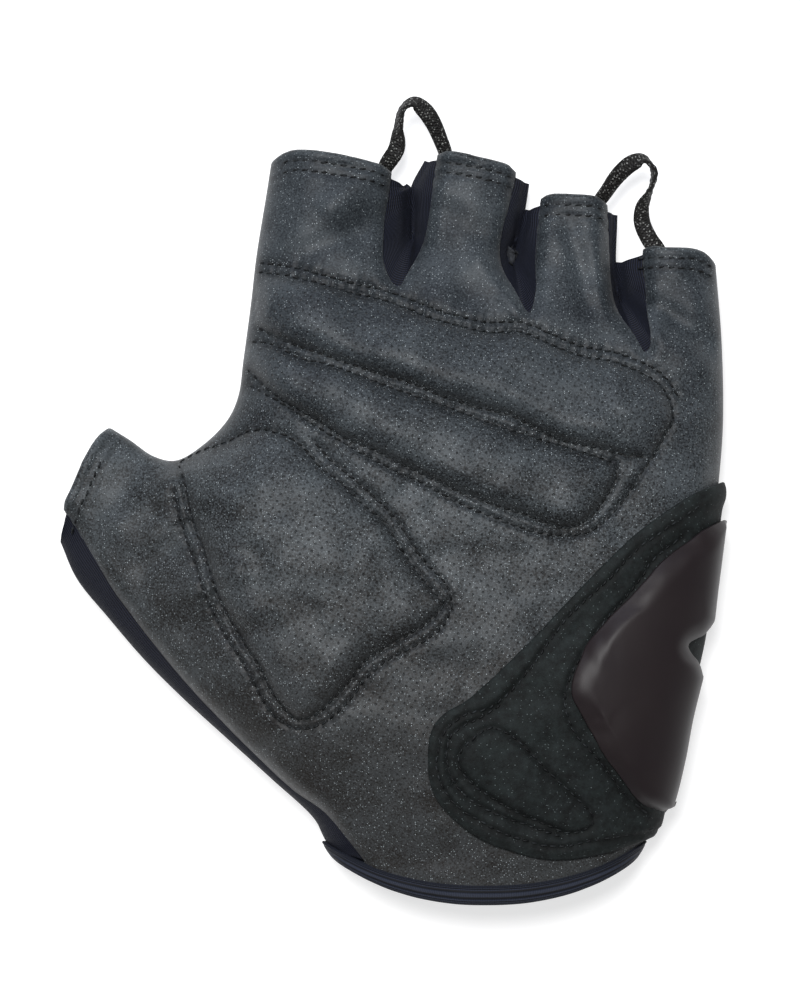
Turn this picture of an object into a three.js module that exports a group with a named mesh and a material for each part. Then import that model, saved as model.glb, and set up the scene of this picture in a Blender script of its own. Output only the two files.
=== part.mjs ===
// A short-finger cycling glove for the left hand, lying on its back with the palm up.
// Millimetres. +X runs from the thumb to the little finger, +Y from the cuff to the fingers
// and +Z up. The origin lies on the resting surface, under the middle of the palm.
// The cloth follows one skin: an upper and a lower height over the plan outline, which meet
// at the sides. Each panel is a stretch of that skin, given its own thickness.

import * as THREE from 'three';

// Fingers: width where neighbours touch, and height of the hem above the palm's middle.
const INDEX_WIDTH = 30.0;
const MIDDLE_WIDTH = 22.8;
const RING_WIDTH = 18.3;
const LITTLE_WIDTH = 20.6;
const FINGER_GAP = 1.0;
const INDEX_REACH = 81.2;
const MIDDLE_REACH = 81.7;
const RING_REACH = 73.2;
const LITTLE_REACH = 62.3;
const STUB_LENGTH = 22.0;

// Thumb: how far its hem stands out from the index side, how high, how wide, how splayed.
const THUMB_REACH = 38.2;
const THUMB_HEIGHT = 15.6;
const THUMB_OPENING = 26.5;
const THUMB_SPLAY = 24.3;
const THUMB_BOW = 0.05;
const CROTCH_HEIGHT = 20.9;

// Cuff: distance below the palm's middle, width, and the band of elastic round it.
const CUFF_REACH = 71.6;
const CUFF_WIDTH = 61.7;
const CUFF_OFFSET = -1.35;
const CUFF_BOW = 8.4;
const CUFF_ROUNDNESS = 2.3;
const CUFF_BAND = 5.0;
const CUFF_THICKNESS = 2.2;

// Depth of the glove as it lies, and the thickness of each material.
const PALM_DEPTH = 29.0;
const SIDE_SEAM_HEIGHT = 12.5;
const SUEDE = 1.2;
const KNIT = 1.0;
const PATCH = 1.0;
const GEL_RISE = 2.8;
const GEL_EDGE = 0.9;
const GEL_BEVEL = 3.2;
const PAD_RISE = 2.8;
const PAD_EDGE = 2.6;
const PAD_SKIRT = 0.8;
const SEAM_GAP = 0.45;
const LAYER_GAP = 0.4;

// Pull loops: woven tape, sewn in under the hems.
const TAPE_WIDTH = 3.6;
const TAPE_THICKNESS = 1.0;
const TAPE_TUCK = 4.0;

// How softly the cloth rounds over at its sides, above and below.
const TOP_SOFTNESS = 13.5;
const UNDER_SOFTNESS = 6.5;
const UNDER_FILL = 1.3;
const RELIEF_MARGIN = 4.0;

// Facets: rows along the gussets, and spacing along sides, hems, outlines and open cloth.
const GUSSET_ROWS = 20;
const STRIP_ROWS = 24;
const SIDE_STEP = 3.6;
const HEM_STEP = 4.4;
const OUTLINE_STEP = 3.8;
const PALM_STEP = 7.2;
const BACK_STEP = 12.0;
const RINGS = [0.4, 1.3, 2.8, 5.0];

const DEGREE = Math.PI / 180;
const halfSeam = SEAM_GAP / 2;
const palmWidth = INDEX_WIDTH + MIDDLE_WIDTH + RING_WIDTH + LITTLE_WIDTH + 3 * FINGER_GAP;
const halfPalm = palmWidth / 2;

// Hems. tilt is in degrees, falling to the right; leftIn and rightIn say how far each corner
// lies inside the finger's side, and bow how far the hem swells, as shares of the width.
const FINGERS = [
  { name: 'index', width: INDEX_WIDTH, reach: INDEX_REACH, tilt: 8.8, leftIn: 0.03, rightIn: 0.027, bow: 0.1 },
  { name: 'middle', width: MIDDLE_WIDTH, reach: MIDDLE_REACH, tilt: 11.3, leftIn: 0.127, rightIn: -0.046, bow: 0.09 },
  { name: 'ring', width: RING_WIDTH, reach: RING_REACH, tilt: 3.1, leftIn: 0.016, rightIn: -0.019, bow: 0.15 },
  { name: 'little', width: LITTLE_WIDTH, reach: LITTLE_REACH, tilt: 1.5, leftIn: 0.01, rightIn: 0.0, bow: 0.12 },
];

// Gussets between fingers, in shares of the stub's length: how deep the crease and the notch
// in the palm's edge run, how they slant, and where the two seams run beside the crease.
const GUSSETS = [
  { name: 'gusset_index_middle', deep: 0.5, slant: 0.0, notch: 0.96, notchSlant: -0.13,
    leftHem: 0.13, leftWide: 0.27, rightHem: 0.1, rightWide: 0.12 },
  { name: 'gusset_middle_ring', deep: 0.43, slant: -0.1, notch: 0.97, notchSlant: 0.04,
    leftHem: 0.11, leftWide: 0.13, rightHem: 0.12, rightWide: 0.2 },
  { name: 'gusset_ring_little', deep: 0.36, slant: 0.05, notch: 0.85, notchSlant: 0.27,
    leftHem: 0.07, leftWide: 0.06, rightHem: 0.22, rightWide: 0.23 },
];
const UNDER_SPREAD = 0.75;
const UNDER_NOTCH = 0.6;
const CREASE_DROP = 0.7;

// Sides of the outline, in shares of the chord from hem to cuff: how far along, how far out.
const THUMB_SIDE = [
  { along: 0.09, out: 0.028 },
  { along: 0.21, out: 0.033 },
  { along: 0.34, out: 0.034 },
  { along: 0.47, out: 0.025 },
  { along: 0.61, out: 0.009 },
  { along: 0.75, out: -0.007 },
  { along: 0.89, out: -0.02 },
  { along: 0.94, out: -0.007 },
];
const LITTLE_SIDE = [
  { along: 0.13, out: 0.028 },
  { along: 0.26, out: 0.048 },
  { along: 0.35, out: 0.054 },
  { along: 0.45, out: 0.056 },
  { along: 0.53, out: 0.057 },
  { along: 0.62, out: 0.058 },
  { along: 0.75, out: 0.046 },
  { along: 0.82, out: 0.043 },
  { along: 0.89, out: 0.036 },
  { along: 0.94, out: 0.025 },
];

// Crotch between thumb and index: shares of the thumb's reach and of the index's height.
const CROTCH = [
  { left: 0.752, up: 0.071 },
  { left: 0.625, up: 0.016 },
  { left: 0.5, up: 0.0 },
  { left: 0.336, up: 0.061 },
  { left: 0.208, up: 0.147 },
  { left: 0.153, up: 0.228 },
  { left: 0.127, up: 0.349 },
  { left: 0.087, up: 0.541 },
  { left: 0.056, up: 0.715 },
  { left: 0.0, up: 0.94 },
];

// Width of the side gusset that shows on the palm, as a share of the thumb's opening.
const SIDE_STRIP = [
  { along: 0.0, inset: 0.26 },
  { along: 0.15, inset: 0.2 },
  { along: 0.35, inset: 0.155 },
  { along: 0.55, inset: 0.1 },
  { along: 0.75, inset: 0.066 },
  { along: 0.86, inset: 0.09 },
  { along: 1.0, inset: 0.3 },
];
const SIDE_UNDER = 0.24;

// Cross sections from cuff to hem, in shares of the palm's depth: crown of the palm side, and
// height of the side seam as a share of its height at the palm.
const SECTIONS = [
  { at: -1.0, crown: 0.86, seam: 0.88 },
  { at: -0.8, crown: 0.96, seam: 0.96 },
  { at: -0.45, crown: 1.07, seam: 1.0 },
  { at: 0.0, crown: 1.0, seam: 1.0 },
  { at: 0.5, crown: 0.94, seam: 0.86 },
  { at: 1.0, crown: 0.77, seam: 0.56 },
];
const THUMB_FLATTENING = 0.3;

// Raised pads, a row for each section across them, in shares of half the palm's width:
// at is the place along the pad, mid its centre line and half its half width.
const PADS = [
  { name: 'knuckle_pad', rise: 1.0, rows: [
    { at: -1.0, mid: 1.165, half: 0.11 },
    { at: -0.85, mid: 1.09, half: 0.137 },
    { at: -0.58, mid: 1.0, half: 0.153 },
    { at: -0.32, mid: 0.902, half: 0.153 },
    { at: -0.05, mid: 0.836, half: 0.175 },
    { at: 0.215, mid: 0.767, half: 0.204 },
    { at: 0.48, mid: 0.685, half: 0.197 },
    { at: 0.66, mid: 0.632, half: 0.166 },
    { at: 0.75, mid: 0.615, half: 0.098 },
    { at: 0.783, mid: 0.605, half: 0.01 },
  ] },
  { name: 'palm_pad', rise: 1.0, rows: [
    { at: -1.0, mid: 0.84, half: 0.085 },
    { at: -0.85, mid: 0.776, half: 0.11 },
    { at: -0.63, mid: 0.674, half: 0.133 },
    { at: -0.32, mid: 0.521, half: 0.166 },
    { at: -0.05, mid: 0.415, half: 0.184 },
    { at: 0.215, mid: 0.341, half: 0.19 },
    { at: 0.39, mid: 0.328, half: 0.15 },
    { at: 0.48, mid: 0.35, half: 0.084 },
    { at: 0.51, mid: 0.355, half: 0.01 },
  ] },
  { name: 'thenar_pad', upright: true, rise: 0.9, rows: [
    { at: -0.7, mid: -0.827, half: 0.01 },
    { at: -0.643, mid: -0.82, half: 0.095 },
    { at: -0.532, mid: -0.803, half: 0.202 },
    { at: -0.399, mid: -0.76, half: 0.31 },
    { at: -0.288, mid: -0.707, half: 0.412 },
    { at: -0.177, mid: -0.698, half: 0.474 },
    { at: 0.044, mid: -0.845, half: 0.412 },
    { at: 0.266, mid: -0.946, half: 0.377 },
    { at: 0.42, mid: -1.05, half: 0.32 },
    { at: 0.51, mid: -1.045, half: 0.16 },
    { at: 0.565, mid: -1.0, half: 0.01 },
  ] },
];

// Soft folds, in shares of half the palm's width: each runs from one point to another, with
// its half width and its height (a dent is negative) in millimetres.
const FOLDS = [
  { x0: -1.66, y0: 0.16, x1: -1.4, y1: 0.36, half: 3.2, rise: 0.9 },
  { x0: -1.52, y0: -0.02, x1: -1.22, y1: 0.2, half: 3.6, rise: -0.9 },
  { x0: -1.42, y0: -0.16, x1: -1.12, y1: -0.05, half: 3.4, rise: 1.0 },
  { x0: -1.34, y0: -0.32, x1: -1.0, y1: -0.28, half: 3.4, rise: -0.8 },
  { x0: -0.95, y0: 1.3, x1: -0.5, y1: 1.5, half: 3.6, rise: -0.8 },
  { x0: -0.7, y0: 1.55, x1: -0.42, y1: 1.6, half: 3.0, rise: 0.7 },
  { x0: 0.66, y0: 1.16, x1: 0.96, y1: 0.98, half: 2.6, rise: -0.9 },
  { x0: 0.7, y0: 0.98, x1: 0.98, y1: 0.82, half: 3.0, rise: 0.7 },
  { x0: -0.05, y0: 1.32, x1: 0.1, y1: 1.12, half: 3.0, rise: 0.6 },
];

// Outlines of the heel patch and of the gel pad moulded on it, from their upper end on the
// little-finger side round by the palm to the lower one, in shares of half the palm's width.
const HEEL_PATCH = [
  { x: 0.894, y: 0.295 },
  { x: 0.726, y: 0.186 },
  { x: 0.576, y: 0.062 },
  { x: 0.412, y: -0.098 },
  { x: 0.215, y: -0.306 },
  { x: 0.064, y: -0.457 },
  { x: -0.104, y: -0.61 },
  { x: -0.206, y: -0.67 },
  { x: -0.265, y: -0.755 },
  { x: -0.255, y: -0.992 },
  { x: -0.188, y: -1.093 },
  { x: -0.06, y: -1.196 },
  { x: 0.193, y: -1.29 },
  { x: 0.35, y: -1.294 },
  { x: 0.5, y: -1.268 },
];
const GEL_PAD = [
  { x: 0.92, y: 0.15 },
  { x: 0.836, y: 0.083 },
  { x: 0.724, y: -0.007 },
  { x: 0.611, y: -0.137 },
  { x: 0.498, y: -0.256 },
  { x: 0.383, y: -0.415 },
  { x: 0.335, y: -0.56 },
  { x: 0.37, y: -0.66 },
  { x: 0.456, y: -0.803 },
  { x: 0.568, y: -0.96 },
  { x: 0.66, y: -1.065 },
];
// Where each outline meets the little-finger side, in shares of that side's length.
const PATCH_SPAN = { from: 0.36, to: 0.945 };
const GEL_SPAN = { from: 0.42, to: 0.9 };
const GEL_NOTCH = { from: 0.585, to: 0.675, deep: 4.4 };

// Pull loops, a row for each bend of the tape: place in shares of half the palm's width,
// height above the hems in tape widths, and turn of the tape in degrees (0 lies flat).
const PULL_LOOPS = [
  { name: 'pull_loop_middle', rows: [
    { x: -0.441, y: 1.735, up: 0.0, turn: 0 },
    { x: -0.401, y: 1.827, up: 0.2, turn: 45 },
    { x: -0.405, y: 1.916, up: 0.3, turn: 85 },
    { x: -0.393, y: 2.004, up: 0.4, turn: 80 },
    { x: -0.348, y: 2.032, up: 0.4, turn: 55 },
    { x: -0.296, y: 1.996, up: 0.3, turn: 25 },
    { x: -0.268, y: 1.943, up: 0.2, turn: 5 },
    { x: -0.247, y: 1.867, up: 0.1, turn: 0 },
    { x: -0.237, y: 1.8, up: 0.0, turn: 0 },
  ] },
  { name: 'pull_loop_little', rows: [
    { x: 0.507, y: 1.575, up: 0.0, turn: 0 },
    { x: 0.539, y: 1.641, up: 0.1, turn: 0 },
    { x: 0.583, y: 1.713, up: 0.25, turn: 10 },
    { x: 0.631, y: 1.761, up: 0.4, turn: 25 },
    { x: 0.68, y: 1.774, up: 0.45, turn: 50 },
    { x: 0.72, y: 1.725, up: 0.45, turn: 80 },
    { x: 0.716, y: 1.677, up: 0.4, turn: 85 },
    { x: 0.695, y: 1.62, up: 0.3, turn: 70 },
    { x: 0.667, y: 1.565, up: 0.2, turn: 40 },
    { x: 0.663, y: 1.499, up: 0.1, turn: 15 },
    { x: 0.691, y: 1.428, up: 0.05, turn: 0 },
    { x: 0.729, y: 1.366, up: 0.0, turn: 0 },
  ] },
];

const clamp01 = (t) => Math.min(1, Math.max(0, t));
const mix = (a, b, t) => a + (b - a) * t;
const ease = (t) => clamp01(t) ** 2 * (3 - 2 * clamp01(t));
const flat = (x, y) => new THREE.Vector3(x, y, 0);
const range = (count) => Array.from({ length: count }, (_, i) => i);

// Smooth value of one column of a table at a place along it, a cubic through the rows.
function follow(rows, key, place, column) {
  const last = rows.length - 1;
  const at = Math.min(rows[last][place], Math.max(rows[0][place], key));
  let i = 0;
  while (i < last - 1 && rows[i + 1][place] < at) i += 1;
  const slope = (k) => {
    const a = rows[Math.max(0, k - 1)];
    const b = rows[Math.min(last, k + 1)];
    return (b[column] - a[column]) / (b[place] - a[place]);
  };
  const span = rows[i + 1][place] - rows[i][place];
  const t = (at - rows[i][place]) / span;
  const from = (2 * t ** 3 - 3 * t ** 2 + 1) * rows[i][column];
  const to = (3 * t ** 2 - 2 * t ** 3) * rows[i + 1][column];
  return from + to + span * ((t ** 3 - 2 * t ** 2 + t) * slope(i) + (t ** 3 - t ** 2) * slope(i + 1));
}

const curveThrough = (points) => new THREE.CatmullRomCurve3(points, false, 'centripetal');

// Curve from one end to another, bent out to the right of its run (side 1) or to the left.
function bowedSide(from, to, rows, side) {
  const chord = to.clone().sub(from);
  const outward = flat(chord.y, -chord.x).multiplyScalar(side);
  const bend = (r) => from.clone().addScaledVector(chord, r.along).addScaledVector(outward, r.out);
  return curveThrough([from, ...rows.map(bend), to]);
}

// Curve moved to the left of its run (side 1) or to the right by an amount read along it.
function movedCurve(curve, amount, side) {
  return curveThrough(range(33).map((i) => {
    const along = curve.getTangentAt(i / 32);
    return curve.getPointAt(i / 32).add(flat(-along.y, along.x).multiplyScalar(side * amount(i / 32)));
  }));
}

// Points of a curve from one share of its length to another, the last one left out.
function run(curve, from, to, spacing) {
  const count = Math.max(1, Math.round((Math.abs(to - from) * curve.getLength()) / spacing));
  return range(count).map((i) => curve.getPointAt(mix(from, to, i / count)));
}

// Shares of a line of some length, crowded where an end stands on a steep side.
function steps(length, spacing, steepStart, steepEnd) {
  const start = steepStart ? [0, ...RINGS] : [0];
  const end = steepEnd ? [0, ...RINGS] : [0];
  const a = start[start.length - 1];
  const b = length - end[end.length - 1];
  const count = Math.max(1, Math.round((b - a) / spacing));
  const middle = range(count - 1).map((i) => mix(a, b, (i + 1) / count));
  return [...start, ...middle, ...end.reverse().map((d) => length - d)].map((d) => d / length);
}

// Hems, with each finger's sides placed one after another across the palm.
const hems = [];
for (const finger of FINGERS) {
  const left = hems.length ? hems[hems.length - 1].right + FINGER_GAP : -halfPalm;
  const right = left + finger.width;
  const fall = (finger.width / 2) * Math.tan(finger.tilt * DEGREE);
  hems.push({
    ...finger,
    left,
    right,
    leftCorner: flat(left + finger.leftIn * finger.width, finger.reach + fall),
    rightCorner: flat(right - finger.rightIn * finger.width, finger.reach - fall),
  });
}
const swell = (share) => 1 - Math.abs(2 * share - 1) ** 4;
const UNDER_BOW = 0.4;
function hemPoint(hem, share, side) {
  const bow = (side === 'top' ? 1 : UNDER_BOW) * hem.bow * hem.width;
  return hem.leftCorner.clone().lerp(hem.rightCorner, share).add(flat(0, bow * swell(share)));
}

// Thumb hem, from its low corner (0) to the one beside the crotch (1).
const thumbAxis = flat(-Math.cos(THUMB_SPLAY * DEGREE), Math.sin(THUMB_SPLAY * DEGREE));
const thumbAlong = flat(-thumbAxis.y, thumbAxis.x);
const thumbMiddle = flat(-halfPalm - THUMB_REACH, THUMB_HEIGHT);
const thumbHemPoint = (share) => thumbMiddle.clone()
  .addScaledVector(thumbAlong, (0.5 - share) * THUMB_OPENING)
  .addScaledVector(thumbAxis, THUMB_BOW * THUMB_OPENING * swell(share));

// Sides of the plan outline.
const cuffCornerY = -(CUFF_REACH - CUFF_BOW);
const cuffLeft = flat(CUFF_OFFSET - CUFF_WIDTH / 2, cuffCornerY);
const cuffRight = flat(CUFF_OFFSET + CUFF_WIDTH / 2, cuffCornerY);
const thumbSide = bowedSide(thumbHemPoint(0), cuffLeft, THUMB_SIDE, 1);
const littleSide = bowedSide(hems[3].rightCorner, cuffRight, LITTLE_SIDE, -1);
const crotchPoint = (r) => flat(-halfPalm - r.left * THUMB_REACH, mix(CROTCH_HEIGHT, INDEX_REACH, r.up));
const crotchSide = curveThrough([thumbHemPoint(1), ...CROTCH.map(crotchPoint), hems[0].leftCorner]);
const gussets = GUSSETS.map((row, k) => {
  const left = hems[k];
  const right = hems[k + 1];
  const half = FINGER_GAP / 2;
  const topY = Math.min(left.rightCorner.y, right.leftCorner.y) - CREASE_DROP;
  const x = left.right + half;
  const bottom = flat(x + row.slant * STUB_LENGTH, topY - row.deep * STUB_LENGTH);
  const notch = flat(x + row.notchSlant * STUB_LENGTH, topY - row.notch * STUB_LENGTH);
  const midX = mix(x, bottom.x, 0.5);
  const midY = mix(topY, bottom.y, 0.5);
  const crease = curveThrough([
    left.rightCorner,
    flat(x - half, topY),
    flat(midX - half, midY),
    flat(bottom.x - half, bottom.y + 2 * half),
    bottom,
    flat(bottom.x + half, bottom.y + 2 * half),
    flat(midX + half, midY),
    flat(x + half, topY),
    right.leftCorner,
  ]);
  return { ...row, left, right, bottom, notch, crease };
});

// Plan point of the wrist: its share across, and how far it lies above the cuff's edge.
function cuffPoint(share, above) {
  const left = thumbSide.getPointAt(1 - above / thumbSide.getLength());
  const right = littleSide.getPointAt(1 - above / littleSide.getLength());
  const bow = CUFF_BOW * (1 - Math.abs(2 * share - 1) ** CUFF_ROUNDNESS);
  return left.lerp(right, share).sub(flat(0, bow));
}
const panelFoot = CUFF_BAND + SEAM_GAP;

// Silhouette as polylines, run on past hems and cuff so that the openings stay full.
const RUN_ON = 14;
function runOnLine(curve, before, after) {
  const line = curve.getSpacedPoints(72);
  line.unshift(line[0].clone().addScaledVector(before, RUN_ON));
  line.push(line[line.length - 1].clone().addScaledVector(after, RUN_ON));
  return line;
}
const silhouette = [
  runOnLine(thumbSide, thumbAxis, flat(0, -1)),
  runOnLine(crotchSide, thumbAxis, flat(0, 1)),
  runOnLine(littleSide, flat(0, 1), flat(0, -1)),
  ...gussets.map((g) => runOnLine(g.crease, flat(0, 1), flat(0, 1))),
];

function distanceTo(line, x, y) {
  let best = Infinity;
  for (let i = 0; i + 1 < line.length; i += 1) {
    const dx = line[i + 1].x - line[i].x;
    const dy = line[i + 1].y - line[i].y;
    const t = clamp01(((x - line[i].x) * dx + (y - line[i].y) * dy) / (dx * dx + dy * dy || 1));
    best = Math.min(best, (line[i].x + t * dx - x) ** 2 + (line[i].y + t * dy - y) ** 2);
  }
  return Math.sqrt(best);
}

// How full the cloth stands at a place: 0 at a side, near 1 well inside.
const fullness = (distances, softness) =>
  Math.sqrt(distances.reduce((product, d) => product * (1 - Math.exp(-d / softness)), 1));

// Height of one pad above the cloth round it, as a share of its rise.
function padShape(pad, x, y) {
  const along = (pad.upright ? y : x) / halfPalm;
  const across = (pad.upright ? x : y) / halfPalm;
  if (along < pad.rows[0].at || along > pad.rows[pad.rows.length - 1].at) return 0;
  const half = follow(pad.rows, along, 'at', 'half');
  const t = Math.abs(across - follow(pad.rows, along, 'at', 'mid')) / half;
  const widest = Math.max(...pad.rows.map((r) => r.half));
  return t >= 1 ? 0 : (1 - t ** 3) * Math.sqrt(clamp01(half / (0.6 * widest)));
}
const padRise = (x, y) => PADS.reduce((sum, pad) => sum + pad.rise * PAD_RISE * padShape(pad, x, y), 0);

// Height of the soft folds at a place.
const foldRise = (x, y) => FOLDS.reduce((sum, f) => {
  const d = distanceTo([flat(f.x0 * halfPalm, f.y0 * halfPalm), flat(f.x1 * halfPalm, f.y1 * halfPalm)], x, y);
  return sum + f.rise * Math.exp(-((d / f.half) ** 2));
}, 0);

// The skin over a plan point: heights of the palm side and of the back side.
function skin(x, y) {
  const reach = y < 0 ? CUFF_REACH : MIDDLE_REACH;
  const flattening = 1 - THUMB_FLATTENING * ease((-x - halfPalm) / THUMB_REACH);
  const crown = PALM_DEPTH * flattening * follow(SECTIONS, y / reach, 'at', 'crown');
  const seam = SIDE_SEAM_HEIGHT * flattening * follow(SECTIONS, y / reach, 'at', 'seam');
  const distances = silhouette.map((line) => distanceTo(line, x, y));
  const relief = (padRise(x, y) + foldRise(x, y)) * clamp01(Math.min(...distances) / RELIEF_MARGIN);
  const top = seam + halfSeam + (crown - seam) * fullness(distances, TOP_SOFTNESS) + relief;
  const bottom = Math.max(0, seam - halfSeam - seam * UNDER_FILL * fullness(distances, UNDER_SOFTNESS));
  return { top, bottom, seam };
}
const lift = (p, side) => new THREE.Vector3(p.x, p.y, skin(p.x, p.y)[side]);

// Share of a curve's length at which it passes nearest to a point.
function shareNear(curve, target) {
  const gaps = range(401).map((i) => curve.getPointAt(i / 400).distanceTo(target));
  return gaps.indexOf(Math.min(...gaps)) / 400;
}

// Point of a curve that reaches its knee half way through its run.
const kneed = (curve, knee, s) => curve.getPointAt(s < 0.5 ? 2 * s * knee : mix(knee, 1, 2 * s - 1));
const underTip = (gusset) => gusset.bottom.clone().lerp(gusset.notch, UNDER_NOTCH);

// Seam beside a crease, from the left hem round the notch to the right hem.
function gussetSeam(gusset, side) {
  const { left, right, bottom, notch } = gusset;
  const spread = (side === 'top' ? 1 : UNDER_SPREAD) * STUB_LENGTH;
  const tip = side === 'top' ? notch : underTip(gusset);
  const beside = (share) => flat(bottom.x + spread * share, bottom.y);
  const below = (share) => bottom.clone().lerp(tip, 0.6).add(flat(spread * 0.62 * share, 0));
  return curveThrough([
    hemPoint(left, 1 - (spread * gusset.leftHem) / left.width, side),
    beside(-gusset.leftWide),
    below(-gusset.leftWide),
    tip,
    below(gusset.rightWide),
    beside(gusset.rightWide),
    hemPoint(right, (spread * gusset.rightHem) / right.width, side),
  ]);
}

// Seam of the side gusset, from the thumb's hem to the cuff.
function stripSeam(side) {
  const inset = (t) => THUMB_OPENING * (side === 'top' ? follow(SIDE_STRIP, t, 'along', 'inset') : SIDE_UNDER);
  const whole = movedCurve(thumbSide, inset, 1);
  const inner = range(11).map((i) => whole.getPointAt((i + 1) / 12.6));
  return curveThrough([thumbHemPoint(inset(0) / THUMB_OPENING), ...inner, cuffPoint(inset(1) / CUFF_WIDTH, panelFoot)]);
}

// Boundary of the palm or of the back, in legs that run anticlockwise with the cloth to the
// left. A leg marked steep lies on the silhouette, where the cloth stands upright.
function boundaryLegs(side) {
  const seams = gussets.map((g) => movedCurve(gussetSeam(g, side), () => SEAM_GAP, -1));
  const strip = movedCurve(stripSeam(side), () => SEAM_GAP, 1);
  const shareOf = (hem, p) => (p.x - hem.leftCorner.x) / (hem.rightCorner.x - hem.leftCorner.x);
  const hemLeg = (k) => {
    const from = k === 3 ? 1 : shareOf(hems[k], seams[k].getPointAt(0));
    const to = k === 0 ? 0 : shareOf(hems[k], seams[k - 1].getPointAt(1));
    const shares = steps((from - to) * hems[k].width, HEM_STEP, k === 3, k === 0);
    return { points: shares.slice(k === 3 ? 0 : 1, -1).map((s) => hemPoint(hems[k], mix(from, to, s), side)) };
  };
  const tips = gussets.map((g) => (side === 'top' ? g.notch : underTip(g)));
  const knees = seams.map((seam, k) => shareNear(seam, tips[k]));
  const seamLeg = (k) => ({
    points: range(GUSSET_ROWS + 1).map((i) => kneed(seams[k], knees[k], 1 - i / GUSSET_ROWS)),
  });
  const stripEnd = strip.getPointAt(1);
  const footLeft = cuffPoint(0, panelFoot).x;
  const cuffStart = (stripEnd.x - footLeft) / (cuffPoint(1, panelFoot).x - footLeft);
  const cuffShares = steps(CUFF_WIDTH * (1 - cuffStart), HEM_STEP, false, true);
  const marks = side === 'top'
    ? [PATCH_SPAN.to, GEL_SPAN.to, GEL_NOTCH.to, GEL_NOTCH.from, GEL_SPAN.from, PATCH_SPAN.from] : [];
  const stops = [1 - panelFoot / littleSide.getLength(), ...marks, 0];
  const thumbStart = strip.getPointAt(0).distanceTo(thumbHemPoint(1));
  const thumbFrom = 1 - thumbStart / THUMB_OPENING;
  const thumbShares = steps(thumbStart, HEM_STEP, true, false);
  return [
    { points: cuffShares.slice(0, -1).map((s) => cuffPoint(mix(cuffStart, 1, s), panelFoot)) },
    { steep: true, points: stops.slice(1).flatMap((stop, i) => run(littleSide, stops[i], stop, SIDE_STEP)) },
    hemLeg(3),
    seamLeg(2),
    hemLeg(2),
    seamLeg(1),
    hemLeg(1),
    seamLeg(0),
    hemLeg(0),
    { steep: true, points: run(crotchSide, 1, 0, SIDE_STEP) },
    { points: thumbShares.slice(0, -1).map((s) => thumbHemPoint(mix(1, thumbFrom, s))) },
    { points: range(STRIP_ROWS).map((i) => strip.getPointAt(i / STRIP_ROWS)) },
  ];
}

function isInside(loop, x, y) {
  let inside = false;
  loop.forEach((a, i) => {
    const b = loop[(i + 1) % loop.length];
    if ((a.y > y) !== (b.y > y) && x < a.x + ((y - a.y) * (b.x - a.x)) / (b.y - a.y)) inside = !inside;
  });
  return inside;
}

// Outline that starts and ends on the little-finger side, as points dense near both ends.
function sideOutline(rows, span) {
  const inner = rows.map((r) => flat(r.x * halfPalm, r.y * halfPalm));
  const curve = curveThrough([littleSide.getPointAt(span.from), ...inner, littleSide.getPointAt(span.to)]);
  return steps(curve.getLength(), OUTLINE_STEP, true, true).map((s) => curve.getPointAt(s));
}

// Stretch of the little-finger side between two shares, as points.
const sideStretch = (from, to) => range(25).map((i) => littleSide.getPointAt(mix(from, to, i / 24)));

// Closed outline of a pad, anticlockwise.
function padOutline(pad) {
  const place = (along, across) => (pad.upright ? flat(across, along) : flat(along, across)).multiplyScalar(halfPalm);
  const broad = pad.rows.filter((r) => r.half > 0.02);
  const tip = (r) => (r.half > 0.02 ? [] : [place(r.at, r.mid)]);
  const low = broad.map((r) => place(r.at, r.mid - r.half));
  const high = broad.map((r) => place(r.at, r.mid + r.half)).reverse();
  const loop = [...low, ...tip(pad.rows[pad.rows.length - 1]), ...high, ...tip(pad.rows[0])];
  if (pad.upright) loop.reverse();
  const curve = new THREE.CatmullRomCurve3(loop, true, 'centripetal');
  const count = Math.round(curve.getLength() / OUTLINE_STEP);
  return range(count).map((i) => curve.getPointAt(i / count));
}

// Closed loop of points moved inwards, less those that would come too near its far side.
function shrunk(loop, amount) {
  const closed = [...loop, loop[0]];
  return loop.map((p, i) => {
    const along = loop[(i + 1) % loop.length].clone().sub(loop[(i + loop.length - 1) % loop.length]).normalize();
    return p.clone().add(flat(-along.y, along.x).multiplyScalar(amount));
  }).filter((p) => isInside(loop, p.x, p.y) && distanceTo(closed, p.x, p.y) > 0.9 * amount);
}

const patchEdge = sideOutline(HEEL_PATCH, PATCH_SPAN);
const gelEdge = sideOutline(GEL_PAD, GEL_SPAN);
const notchMid = littleSide.getPointAt((GEL_NOTCH.from + GEL_NOTCH.to) / 2);
const notchAlong = littleSide.getTangentAt((GEL_NOTCH.from + GEL_NOTCH.to) / 2);
const notchTip = notchMid.clone().add(flat(notchAlong.y, -notchAlong.x).multiplyScalar(GEL_NOTCH.deep));
const notchEnds = [littleSide.getPointAt(GEL_NOTCH.from), littleSide.getPointAt(GEL_NOTCH.to)];
const notchEdge = [0, 0.12, 0.35, 0.7, 1].map((s) => notchEnds[0].clone().lerp(notchTip, s))
  .concat([0.7, 0.35, 0.12, 0].map((s) => notchEnds[1].clone().lerp(notchTip, s)));
const patchLoop = [...patchEdge, ...sideStretch(PATCH_SPAN.to, PATCH_SPAN.from)];
const gelLoop = [
  ...gelEdge,
  ...sideStretch(GEL_SPAN.to, GEL_NOTCH.to),
  ...[...notchEdge].reverse(),
  ...sideStretch(GEL_NOTCH.from, GEL_SPAN.from),
];
const padLoops = PADS.map(padOutline);

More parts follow.
